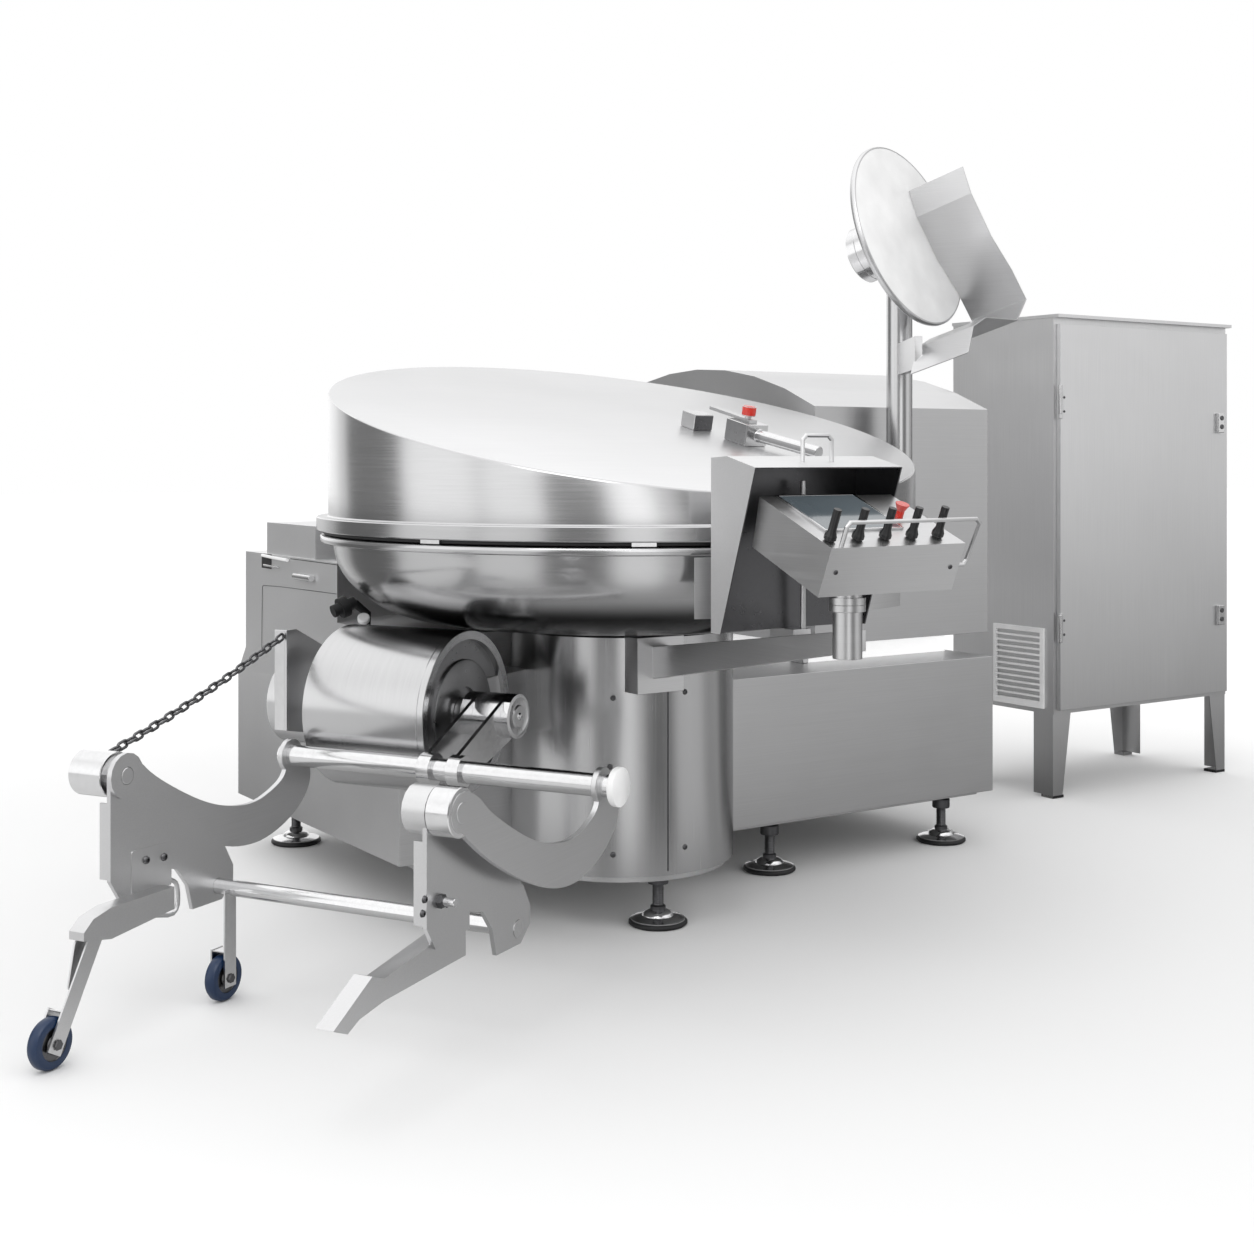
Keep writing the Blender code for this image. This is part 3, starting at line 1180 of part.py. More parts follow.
def splash_hood():
    """Bent sheet hood: two side plates, a roof and a U handle."""
    side = [(HOOD_REAR_Y, HOOD_REAR_Z), (HOOD_FRONT_Y, HOOD_FRONT_Z), (HOOD_TIP_Y, HOOD_TIP_Z),
            (HOOD_HEEL_Y, HOOD_TIP_Z),
            (HOOD_HEEL_Y, HOOD_REAR_Z - SHEET)]
    piece = plate("splash_hood", side, HOOD_RIGHT - HOOD_LEFT, brushed, machine, sideways(HOOD_LEFT))
    inner = [(HOOD_HEEL_Y - SHEET, HOOD_TIP_Z - OVERRUN), (HOOD_HEEL_Y - SHEET, HOOD_REAR_Z - 2 * SHEET),
             (HOOD_REAR_Y, HOOD_REAR_Z - SHEET), (HOOD_FRONT_Y - OVERRUN, HOOD_FRONT_Z - 2 * SHEET),
             (HOOD_FRONT_Y - OVERRUN, HOOD_TIP_Z - OVERRUN)]
    cut(piece, plate("hood_inside", inner, HOOD_RIGHT - HOOD_LEFT - 2 * SHEET, dark, machine,
                     sideways(HOOD_LEFT + SHEET)))
    height = HOOD_REAR_Z + HOOD_HANDLE_HEIGHT
    y = (HOOD_REAR_Y + HOOD_FRONT_Y) / 2
    foot = HOOD_FRONT_Z + SHEET
    left, right = HOOD_HANDLE_X - HOOD_HANDLE_HALF, HOOD_HANDLE_X + HOOD_HANDLE_HALF
    bend = 2 * HOOD_HANDLE_RADIUS
    handle = tube("hood_handle", [(left, y, foot), (left, y, height - bend), (left + bend, y, height),
                                  (right - bend, y, height), (right, y, height - bend), (right, y, foot)],
                  HOOD_HANDLE_RADIUS, dark, machine)
    return join(piece, handle)


def bowl_guard():
    """Curved sheet round the front of the bowl, with its bracket to the console arm."""
    steps = ROUND_STEPS // 3
    outer = arc(0.0, 0.0, GUARD_RADIUS + GUARD_WALL, GUARD_RADIUS + GUARD_WALL, GUARD_FROM, GUARD_TO, steps)
    inner = arc(0.0, 0.0, GUARD_RADIUS, GUARD_RADIUS, GUARD_TO, GUARD_FROM, steps)
    piece = plate("bowl_guard", outer + inner, GUARD_HIGH - GUARD_LOW, brushed, machine,
                  Matrix.Translation((0.0, 0.0, GUARD_LOW)))
    front = GUIDE_Y - 2 * GUIDE_RADIUS
    low = GUARD_LOW - GUARD_FOOT
    foot = box("guard_foot", (ARM_FROM_X - ARM_WIDTH_HALF, front, low),
               (ARM_FROM_X + ARM_WIDTH_HALF, -GUARD_RADIUS + 2 * OVERRUN,
                GUARD_LOW - GUARD_FOOT_TOP), dark, machine)
    web = box("guard_web", (ARM_FROM_X - ARM_WIDTH_HALF + LAP, -GUARD_RADIUS - GUARD_WALL / 2, low + LAP),
              (ARM_FROM_X + ARM_WIDTH_HALF - LAP, -GUARD_RADIUS + 2 * GUARD_WALL,
               GUARD_LOW + 2 * OVERRUN), dark, machine)
    guide = rod("hood_guide", (GUIDE_X, GUIDE_Y, GUARD_LOW - GUARD_FOOT_TOP - LAP),
                (GUIDE_X, GUIDE_Y, GUIDE_HIGH), GUIDE_RADIUS, dark, machine)
    join(piece, foot, web, guide)
    run = POST_Y + math.sqrt(COLUMN_RADIUS ** 2 - ARM_FROM_X ** 2) - ARM_FLANGE
    rise = ARM_TO_Z + ARM_TO_HALF - ARM_FROM_Z - ARM_FROM_HALF
    slope = math.atan2(rise, -run)
    start = (0.0, -math.sqrt(COLUMN_RADIUS ** 2 - ARM_FROM_X ** 2) + ARM_FLANGE,
             ARM_FROM_Z + ARM_FROM_HALF + GAP)
    below = Matrix.Translation(start) @ Matrix.Rotation(-slope, 4, "X")
    return cut(piece, box("arm_room", (-GUARD_RADIUS, -2 * GUARD_RADIUS, -GUARD_RADIUS),
                          (GUARD_RADIUS, 0.0, 0.0), dark,
                          machine, below))


def lid_frame(x, y):
    """Local frame standing on the lid's top above a point of the bowl's plan."""
    height = LID_MIDDLE_TOP + math.tan(LID_SLOPE) * y
    return Matrix.Translation((x, y, height)) @ Matrix.Rotation(LID_SLOPE, 4, "X")


def lid_clamp():
    return box("lid_clamp_block", (-CLAMP_BLOCK / 2, -CLAMP_BLOCK / 2, GAP),
               (CLAMP_BLOCK / 2, CLAMP_BLOCK / 2, CLAMP_HEIGHT),
               dark, machine, lid_frame(CLAMP_X, CLAMP_Y))


def latch_block():
    frame = lid_frame(LATCH_BLOCK_X, LATCH_BLOCK_Y)
    piece = box("latch_block", (-LATCH_BLOCK_WIDTH / 2, -LATCH_BLOCK_LENGTH / 2, GAP),
                (LATCH_BLOCK_WIDTH / 2, LATCH_BLOCK_LENGTH / 2, LATCH_BLOCK_HEIGHT), dark, machine, frame)
    height = LATCH_BLOCK_HEIGHT / 2
    bar = rod("locking_bar", (0.0, 0.0, height), (0.0, -BAR_LENGTH, height), BAR_RADIUS, polished, machine)
    bar.matrix_local = frame @ Matrix.Rotation(BAR_TURN, 4, "Z")
    return join(piece, bar)


def latch_lever():
    frame = lid_frame(LATCH_BLOCK_X, LATCH_BLOCK_Y)
    low = LATCH_BLOCK_HEIGHT + GAP
    piece = box("latch_lever", (-LATCH_LEVER_WIDTH / 2, -LATCH_LEVER_WIDTH, low),
                (LATCH_LEVER_WIDTH / 2, LATCH_LEVER_LENGTH, low + LATCH_LEVER_THICKNESS),
                dark, machine, frame)
    return join(piece, latch_knob())


def latch_knob():
    low = LATCH_BLOCK_HEIGHT + LATCH_LEVER_THICKNESS / 2
    profile = [(0.0, low + KNOB_STEM + KNOB_HEIGHT), (KNOB_RADIUS, low + KNOB_STEM + KNOB_HEIGHT),
               (KNOB_RADIUS, low + KNOB_STEM), (KNOB_STEM_RADIUS, low + KNOB_STEM),
               (KNOB_STEM_RADIUS, low), (0.0, low)]
    return turned("latch_knob", profile, red, machine, steps=SMALL_STEPS,
                  matrix=lid_frame(LATCH_BLOCK_X, LATCH_BLOCK_Y))


def disc_frame():
    """Local frame of the unloading disc: Z along its shaft, away from the drive."""
    side = Vector((0.0, 0.0, 1.0)).cross(DISC_NORMAL).normalized()
    up = DISC_NORMAL.cross(side)
    turn = Matrix((side, up, DISC_NORMAL)).transposed().to_4x4()
    return Matrix.Translation((DISC_X, DISC_Y, DISC_Z)) @ turn


def unloader_bracket():
    """Plate on the housing's front with two ears round the mast's foot."""
    plate_back = UPPER_FRONT - GAP
    piece = box("unloader_bracket", (PIVOT_X - PIVOT_PLATE_WIDTH / 2, plate_back - PIVOT_PLATE,
                                     PIVOT_Z - PIVOT_PLATE_HEIGHT),
                (PIVOT_X + PIVOT_PLATE_WIDTH / 2, plate_back,
                 PIVOT_Z + PIVOT_PLATE_HEIGHT / 2), dark, machine)
    near = PIVOT_Y + MAST_RADIUS + GAP
    pin_end = PIVOT_Y - MAST_RADIUS - 2 * PIVOT_EAR
    stub = box("pivot_stub", (PIVOT_X - PIVOT_EAR_RADIUS / 2, near, PIVOT_Z - PIVOT_EAR_RADIUS / 2),
               (PIVOT_X + PIVOT_EAR_RADIUS / 2, plate_back - PIVOT_PLATE / 2,
                PIVOT_Z + PIVOT_EAR_RADIUS / 2), dark, machine)
    pin = rod("pivot_pin", (PIVOT_X, near + LAP, PIVOT_Z), (PIVOT_X, pin_end, PIVOT_Z),
              PIVOT_PIN_RADIUS, dark, machine)
    return join(piece, stub, pin)


def unloader_mast():
    piece = rod("unloader_mast", (PIVOT_X, PIVOT_Y, PIVOT_Z - MAST_FOOT),
                (PIVOT_X, PIVOT_Y, MAST_HIGH), MAST_RADIUS,
                polished, machine, ROUND_STEPS // 2)
    centre = Vector((DISC_X, DISC_Y, DISC_Z))
    drive_start = centre - DISC_NORMAL * DRIVE_FROM
    drive_end = centre - DISC_NORMAL * DRIVE_TO
    join(piece, rod("disc_drive", drive_start, drive_end, DRIVE_RADIUS, brushed, machine, ROUND_STEPS))
    join(piece, rod("drive_neck", (PIVOT_X, PIVOT_Y, MAST_HIGH - MAST_RADIUS),
                    centre - DISC_NORMAL * (DRIVE_FROM + DRIVE_TO) / 2,
                    MAST_RADIUS - LAP, brushed, machine, SMALL_STEPS))
    bore = rod("mast_bore", (PIVOT_X, PIVOT_Y - 2 * MAST_RADIUS, PIVOT_Z),
               (PIVOT_X, PIVOT_Y + 2 * MAST_RADIUS, PIVOT_Z),
               bore_radius(PIVOT_PIN_RADIUS), dark, machine)
    shaft_bore = rod("drive_bore", drive_start + DISC_NORMAL * OVERRUN,
                     drive_start - DISC_NORMAL * 2 * OVERRUN,
                     bore_radius(DRIVE_SHAFT_RADIUS), dark, machine)
    cut(piece, bore, shaft_bore)
    return hang_on(piece, (PIVOT_X, PIVOT_Y, PIVOT_Z))


def unloader_disc():
    half = DISC_THICKNESS / 2
    edge = DISC_RADIUS - half
    profile = [(0.0, half), (edge, half)] + arc(edge, 0.0, half, half, math.radians(60.0),
                                                math.radians(-60.0), 4)
    profile += [(edge, -half), (DRIVE_SHAFT_RADIUS, -half), (DRIVE_SHAFT_RADIUS, -DRIVE_FROM - OVERRUN),
                (0.0, -DRIVE_FROM - OVERRUN)]
    return turned("unloader_disc", profile, white, machine, matrix=disc_frame())


def unloader_chute():
    """Bent sheet beside the disc's face, on a stay from the mast."""
    path = [(right * CHUTE_SIZE, up * CHUTE_SIZE) for right, up in CHUTE_SHARES]
    frame = disc_frame() @ Matrix.Translation((0.0, 0.0, DISC_THICKNESS / 2 + LAP))
    piece = plate("unloader_chute", sheet_outline(path, CHUTE_SHEET), CHUTE_WIDTH, brushed, machine, frame)
    start = disc_frame() @ Vector((STAY_RIGHT, STAY_UP, STAY_OUT))
    end = Vector((PIVOT_X, PIVOT_Y, start.z))
    turn = Matrix.Translation(start) @ (end - start).to_track_quat("X", "Z").to_matrix().to_4x4()
    half = STAY_WIDTH / 2
    stay = box("chute_stay", (0.0, -half, -STAY_HEIGHT / 2),
               ((end - start).length, half, STAY_HEIGHT / 2), dark, machine, turn)
    join(piece, stay)
    return cut(piece, rod("stay_mast", (PIVOT_X, PIVOT_Y, PIVOT_Z), (PIVOT_X, PIVOT_Y, MAST_HIGH),
                          MAST_RADIUS + GAP, dark,
                          machine, ROUND_STEPS // 2))


def sheet_outline(path, thickness):
    """Outline of a bent sheet: the path and the same path moved to its left by the thickness."""
    moved = []
    for index, (x, y) in enumerate(path):
        before = Vector(path[max(index - 1, 0)])
        after = Vector(path[min(index + 1, len(path) - 1)])
        here = Vector((x, y))
        first = (here - before).normalized() if index else (after - here).normalized()
        second = (after - here).normalized() if index < len(path) - 1 else first
        middle = (first + second).normalized()
        normal = Vector((-middle.y, middle.x))
        moved.append(tuple(here + normal * thickness / max(middle.dot(first), MITRE_SHARE)))
    return path + moved[::-1]


def cabinet():
    low = (CABINET_LEFT, CABINET_FRONT, CABINET_LOW)
    high = (CABINET_RIGHT, CABINET_BACK, CABINET_HIGH)
    piece = box("cabinet_body", low, high, brushed, machine)
    wall = CABINET_WALL
    rim = FRONT_RIM
    cut(piece, box("cabinet_room", (low[0] + wall, low[1] + wall, low[2] + wall),
                   (high[0] - wall, high[1] - wall, high[2] - wall),
                   dark, machine),
        box("cabinet_mouth", (low[0] + rim, low[1] - OVERRUN, low[2] + rim),
            (high[0] - rim, low[1] + OVERRUN, high[2] - rim),
            dark, machine))
    roof = box("cabinet_roof", (low[0] - wall, low[1] - ROOF_LIP - DOOR_THICKNESS / 2, high[2] - wall / 2),
               (high[0] + wall, high[1] + wall, high[2] + ROOF_THICKNESS), dark, machine)
    join(piece, roof)
    for from_x, turn_x in ((low[0], 1.0), (high[0], -1.0)):
        for from_y, turn_y in ((low[1] + wall, 1.0), (high[1], -1.0)):
            join(piece, cabinet_leg(from_x, turn_x, from_y, turn_y))
    return piece


def cabinet_leg(corner_x, turn_x, corner_y, turn_y):
    """Tapered leg folded from sheet, with the corner on its outside."""
    top = CABINET_LOW + CABINET_WALL / 2
    outline = [(0.0, top), (LEG_TOP, top), (LEG_FOOT, LEG_PAD), (0.0, LEG_PAD)]
    inner = [(LEG_SHEET, top + OVERRUN), (LEG_TOP + OVERRUN, top + OVERRUN),
             (LEG_TOP + OVERRUN, -OVERRUN), (LEG_SHEET, -OVERRUN)]
    flip_x = Matrix.Diagonal((turn_x, turn_y, 1.0, 1.0))
    place = Matrix.Translation((corner_x, corner_y, 0.0)) @ flip_x
    leg = plate("cabinet_leg", outline, LEG_TOP, dark, machine, upright(0.0, LEG_TOP, 0.0))
    hollow = plate("leg_hollow", inner, LEG_TOP, dark, machine, upright(0.0, LEG_TOP + LEG_SHEET, 0.0))
    cut(leg, hollow)
    leg = bake(leg, place)
    pad = box("leg_pad", (0.0, 0.0, 0.0), (LEG_FOOT, LEG_FOOT, LEG_PAD + LAP), dark, machine)
    pad = bake(pad, place)
    return join(leg, pad)


def bake(piece, place):
    """Applies a piece's modifiers and sets it in a place, which may mirror it."""
    bpy.context.view_layer.update()
    evaluated = piece.evaluated_get(bpy.context.evaluated_depsgraph_get())
    mesh = bpy.data.meshes.new_from_object(evaluated)
    mesh.transform(place @ piece.matrix_local)
    if place.determinant() < 0:
        mesh.flip_normals()
    piece.modifiers.clear()
    piece.data = mesh
    piece.matrix_local = Matrix.Identity(4)
    return piece


def cabinet_door():
    front = CABINET_FRONT - DOOR_THICKNESS - GAP
    piece = box("cabinet_door", (CABINET_LEFT + DOOR_INSET, front, CABINET_LOW + DOOR_INSET),
                (CABINET_RIGHT - DOOR_INSET, CABINET_FRONT - GAP,
                 CABINET_HIGH - DOOR_TOP_INSET), brushed, machine)
    fold = 2 * CABINET_WALL
    cut(piece, box("door_room", (CABINET_LEFT + DOOR_INSET + fold, front + CABINET_WALL / 2,
                                 CABINET_LOW + DOOR_INSET + fold),
                   (CABINET_RIGHT - DOOR_INSET - fold, CABINET_FRONT + OVERRUN,
                    CABINET_HIGH - DOOR_TOP_INSET - fold),
                   dark, machine))
    for share in DOOR_HINGE_SHARES:
        middle = CABINET_LOW + share * (CABINET_HIGH - CABINET_LOW)
        join(piece, rod("door_knuckle", (CABINET_LEFT + DOOR_INSET, front, middle - DOOR_HINGE_LENGTH / 2),
                        (CABINET_LEFT + DOOR_INSET, front, middle + DOOR_HINGE_LENGTH / 2), DOOR_HINGE_RADIUS,
                        dark, machine, SMALL_STEPS))
    return hang_on(piece, (CABINET_LEFT + DOOR_INSET, front, CABINET_LOW))


def cabinet_lock(index, share):
    middle = CABINET_LOW + share * (CABINET_HIGH - CABINET_LOW)
    back = CABINET_FRONT - DOOR_THICKNESS - 2 * GAP
    x = CABINET_RIGHT - DOOR_INSET - LOCK_INSET
    return box("cabinet_lock_%d" % index, (x - LOCK_WIDTH / 2, back - LOCK_DEPTH, middle - LOCK_HEIGHT / 2),
               (x + LOCK_WIDTH / 2, back, middle + LOCK_HEIGHT / 2), black, machine)


def cabinet_grille():
    """Louvred plate on the cabinet's left side."""
    left = CABINET_LEFT - GRILLE_DEPTH - GAP
    piece = box("cabinet_grille", (left, GRILLE_FROM_Y, GRILLE_LOW),
                (CABINET_LEFT - GAP, GRILLE_TO_Y, GRILLE_HIGH),
                white, machine)
    pitch = (GRILLE_HIGH - GRILLE_LOW - 2 * GRILLE_FRAME) / GRILLE_SLATS
    for index in range(GRILLE_SLATS):
        low = GRILLE_LOW + GRILLE_FRAME + index * pitch
        cut(piece, box("grille_slot", (left - OVERRUN, GRILLE_FROM_Y + GRILLE_FRAME, low + pitch / 3),
                       (CABINET_LEFT + OVERRUN, GRILLE_TO_Y - GRILLE_FRAME, low + pitch), dark, machine))
    return piece


def loader_drum():
    low, high = DRUM_LEFT, DRUM_RIGHT
    profile = [(0.0, high), (HUB_RADIUS + LAP, high), (DRUM_RADIUS - 4 * DRUM_LIP, high - DRUM_LIP),
               (DRUM_RADIUS - 2 * DRUM_LIP, high),
               (DRUM_RADIUS, high), (DRUM_RADIUS, low), (NOSE_RADIUS, low),
               (NOSE_RADIUS, NOSE_LEFT), (0.0, NOSE_LEFT)]
    piece = turned("loader_drum", profile, polished, loader, matrix=along_y(DRUM_OUT, 0.0, DRUM_Z))
    shaft = rod("drum_shaft", (DRUM_OUT, high - LAP, DRUM_Z), (DRUM_OUT, HUB_LEFT + 4 * OVERRUN, DRUM_Z),
                HUB_SHAFT_RADIUS, dark, loader)
    return join(piece, shaft, drum_bracket(), chain_anchor())


def drum_bracket():
    """Saddle that bolts the loader's drum to the column."""
    start = DRUM_OUT - BRACKET_REACH
    piece = box("drum_bracket", (start, BRACKET_LEFT, BRACKET_LOW),
                (DRUM_OUT, BRACKET_RIGHT, BRACKET_HIGH), dark, loader)
    column_face = rod("bracket_column", (0.0, 0.0, 0.0), (0.0, 0.0, 2 * COLUMN_HIGH), COLUMN_RADIUS + GAP,
                      dark, machine, ROUND_STEPS)
    return cut(piece, column_face)


def chain_anchor():
    outline = [(ANCHOR_FRONT, ANCHOR_LOW), (ANCHOR_FRONT, ANCHOR_HIGH),
               (ANCHOR_FRONT - ANCHOR_FLANGE, ANCHOR_HIGH),
               (DRUM_OUT + ANCHOR_FLANGE, DRUM_Z + NOSE_RADIUS + ANCHOR_FLANGE),
               (DRUM_OUT - ANCHOR_FLANGE, DRUM_Z + NOSE_RADIUS + LAP),
               (DRUM_OUT - ANCHOR_FLANGE, DRUM_Z), (DRUM_OUT, ANCHOR_LOW - ANCHOR_FLANGE)]
    piece = plate("chain_anchor", outline, ANCHOR_SHEET, brushed, loader,
                  upright(0.0, ANCHOR_SIDE + ANCHOR_SHEET, 0.0))
    flange = box("anchor_flange", (ANCHOR_FRONT - ANCHOR_SHEET,
                                   ANCHOR_SIDE - ANCHOR_FLANGE + ANCHOR_SHEET, ANCHOR_LOW),
                 (ANCHOR_FRONT, ANCHOR_SIDE + LAP, ANCHOR_HIGH), dark, loader)
    return join(piece, flange)


def lift_levers():
    """Hub on the drum's shaft with two plates down to collars on the tube."""
    piece = rod("lift_levers", (DRUM_OUT, HUB_LEFT, DRUM_Z), (DRUM_OUT, HUB_RIGHT, DRUM_Z),
                HUB_RADIUS, brushed, loader,
                ROUND_STEPS // 2)
    reach = Vector((TUBE_OUT - DRUM_OUT, 0.0, TUBE_Z - DRUM_Z))
    angle = math.atan2(reach.z, reach.x)
    for index in range(LEVER_COUNT):
        side = LEVER_FIRST_SIDE + index * LEVER_PITCH
        outline = [(0.0, -HUB_RADIUS + LAP), (reach.length, -LEVER_COLLAR + LAP),
                   (reach.length, LEVER_COLLAR - LAP), (0.0, HUB_RADIUS - LAP)]
        turn = Matrix.Translation((DRUM_OUT, 0.0, DRUM_Z)) @ Matrix.Rotation(-angle, 4, "Y")
        join(piece, plate("lever", outline, LEVER_THICKNESS, dark, loader,
                          turn @ upright(0.0, side + LEVER_THICKNESS, 0.0)))
        join(piece, rod("lever_collar", (TUBE_OUT, side - LEVER_COLLAR_WIDTH / 3, TUBE_Z),
                        (TUBE_OUT, side + LEVER_COLLAR_WIDTH * 2 / 3, TUBE_Z), LEVER_COLLAR, dark, loader))
    bore = rod("lever_bore", (TUBE_OUT, 0.0, TUBE_Z), (TUBE_OUT, ARM_RIGHT_SIDE, TUBE_Z), TUBE_RADIUS + GAP,
               dark, loader, ROUND_STEPS // 2)
    shaft = rod("hub_bore", (DRUM_OUT, 0.0, DRUM_Z), (DRUM_OUT, HUB_LEFT + 4 * OVERRUN + GAP, DRUM_Z),
                bore_radius(HUB_SHAFT_RADIUS), dark, loader)
    cut(piece, bore, shaft)
    return hang_on(piece, (DRUM_OUT, HUB_LEFT, DRUM_Z))


def lift_arm():
    """Tube across the loader's width with a curved arm welded on near each end."""
    piece = rod("lift_arm", (TUBE_OUT, TUBE_LEFT, TUBE_Z), (TUBE_OUT, TUBE_RIGHT, TUBE_Z),
                TUBE_RADIUS, polished, loader,
                ROUND_STEPS // 2)
    join(piece, *curved_arms())
    return hang_on(piece, (TUBE_OUT, TUBE_LEFT, TUBE_Z))


def tube_cap():
    profile = [(0.0, CAP_THICKNESS), (CAP_RADIUS, CAP_THICKNESS), (CAP_RADIUS, GAP), (0.0, GAP)]
    return turned("tube_cap", profile, white, loader, steps=ROUND_STEPS // 2,
                  matrix=along_y(TUBE_OUT, TUBE_RIGHT, TUBE_Z))


def curved_arm(name, side):
    reach = BOSS_OUT - TUBE_OUT
    shares = ARM_TOP_SHARES + ARM_BOTTOM_SHARES
    outline = [(BOSS_OUT - inward * reach, BOSS_Z - down * ARM_DROP) for inward, down in shares]
    piece = plate(name, outline, ARM_PLATE, brushed, loader, upright(0.0, side + ARM_PLATE, 0.0))
    eye = rod("arm_eye", (TUBE_OUT, side - LAP, TUBE_Z),
              (TUBE_OUT, side + ARM_PLATE + LAP, TUBE_Z), ARM_EYE, dark, loader, ROUND_STEPS // 2)
    head_from = side - LAP if side < 0 else side + LAP
    head = rod("arm_head", (BOSS_OUT, head_from, BOSS_Z), (BOSS_OUT, head_from + ARM_PLATE, BOSS_Z),
               BOSS_RADIUS + LAP, dark,
               loader, ROUND_STEPS // 2)
    return join(piece, eye, head)


def curved_arms():
    left = curved_arm("curved_arm_left", ARM_LEFT_SIDE)
    join(left, rod("left_boss", (BOSS_OUT, BOSS_LEFT_END, BOSS_Z),
                   (BOSS_OUT, ARM_LEFT_SIDE + LAP, BOSS_Z), BOSS_RADIUS, dark,
                   loader, ROUND_STEPS // 2))
    pin_end = HANGER_LEFT_SIDE + 2 * PLATE + LAP
    join(left, rod("left_pin", (BOSS_OUT, ARM_LEFT_SIDE, BOSS_Z), (BOSS_OUT, pin_end, BOSS_Z),
                   PIN_RADIUS, dark, loader))
    right = curved_arm("curved_arm_right", ARM_RIGHT_SIDE)
    join(right, rod("right_boss", (BOSS_OUT, HANGER_RIGHT_SIDE + PLATE + GAP, BOSS_Z),
                    (BOSS_OUT, ARM_RIGHT_SIDE + LAP, BOSS_Z),
                    BOSS_RADIUS, dark, loader, ROUND_STEPS // 2))
    join(right, rod("right_pin", (BOSS_OUT, BOSS_RIGHT_END - LAP, BOSS_Z),
                    (BOSS_OUT, ARM_RIGHT_SIDE, BOSS_Z), PIN_RADIUS,
                    dark, loader))
    return left, right


def hanger(name, side, boss_from, boss_to):
    outline = [(BOSS_OUT - inward * HANGER_WIDTH, BOSS_Z - down * HANGER_DROP) for inward,
               down in HANGER_SHARES]
    piece = plate(name, outline, PLATE, brushed, loader, upright(0.0, side + PLATE, 0.0))
    boss = rod("hanger_boss", (BOSS_OUT, boss_from, BOSS_Z), (BOSS_OUT, boss_to, BOSS_Z), BOSS_RADIUS,
               dark, loader, ROUND_STEPS // 2)
    front = BOSS_OUT - HANGER_SHARES[0][0] * HANGER_WIDTH
    flange = box("hanger_flange", (front - PLATE / 2, side - HANGER_FLANGE, BOSS_Z - FLANGE_LOW_DROP),
                 (front, side + LAP, BOSS_Z - FLANGE_TOP_DROP), dark, loader)
    join(piece, boss, flange)
    cut(piece, rod("hanger_bore", (BOSS_OUT, boss_from - OVERRUN, BOSS_Z),
                   (BOSS_OUT, boss_to + OVERRUN, BOSS_Z),
                   bore_radius(PIN_RADIUS), dark, loader))
    return cut(piece, rod("cross_bore", (CROSS_OUT, side - OVERRUN, CROSS_Z),
                          (CROSS_OUT, side + 2 * OVERRUN, CROSS_Z),
                          CROSS_RADIUS + GAP, dark, loader))


def hangers():
    left = hanger("hanger_left", HANGER_LEFT_SIDE, HANGER_LEFT_SIDE + PLATE - LAP,
                  HANGER_LEFT_SIDE + 2 * PLATE)
    join(left, fork("fork_left", HANGER_LEFT_SIDE + PLATE + FORK_HALF - LAP, FORK_FROM, FORK_TOP,
                    FORK_LONG, LEFT_FORK_SHARES))
    join(left, wheel_leg("front_leg", STRUT_TOP_OUT, STRUT_TOP_Z, FRONT_WHEEL_OUT, 0.0))
    right = hanger("hanger_right", HANGER_RIGHT_SIDE, BOSS_RIGHT_END, HANGER_RIGHT_SIDE + PLATE)
    join(right, fork("fork_right", HANGER_RIGHT_SIDE - FORK_HALF + LAP, FORK_FROM,
                     RIGHT_FORK_TOP, RIGHT_FORK_LONG,
                     RIGHT_FORK_SHARES))
    hang_on(left, (BOSS_OUT, HANGER_LEFT_SIDE, BOSS_Z))
    hang_on(right, (BOSS_OUT, HANGER_RIGHT_SIDE, BOSS_Z))


def cross_bar():
    """Bar through both hangers, with the rear wheel's leg welded under it."""
    piece = rod("cross_bar", (CROSS_OUT, HANGER_LEFT_SIDE, CROSS_Z),
                (CROSS_OUT, HANGER_RIGHT_SIDE + PLATE + LAP, CROSS_Z), CROSS_RADIUS, polished, loader)
    return join(piece, wheel_leg("rear_leg", 0.0, CROSS_Z + LAP, 0.0, WHEEL_SIDE))


def fork(name, side, start, top, long, tip_shares):
    outline = [(start + along * long, top - down * FORK_DEEP) for along, down in tip_shares]
    piece = plate(name, outline, 2 * FORK_HALF, brushed, loader, upright(0.0, side + FORK_HALF, 0.0))
    return piece


def wheel(name, out, side):
    half = WHEEL_WIDTH / 2
    round_over = half / 2
    profile = [(WHEEL_BORE, half), (WHEEL_RADIUS - round_over, half), (WHEEL_RADIUS, half - round_over),
               (WHEEL_RADIUS, -half + round_over), (WHEEL_RADIUS - round_over, -half), (WHEEL_BORE, -half)]
    return turned(name, profile, blue, loader, steps=ROUND_STEPS, matrix=along_y(out, side, WHEEL_RADIUS))


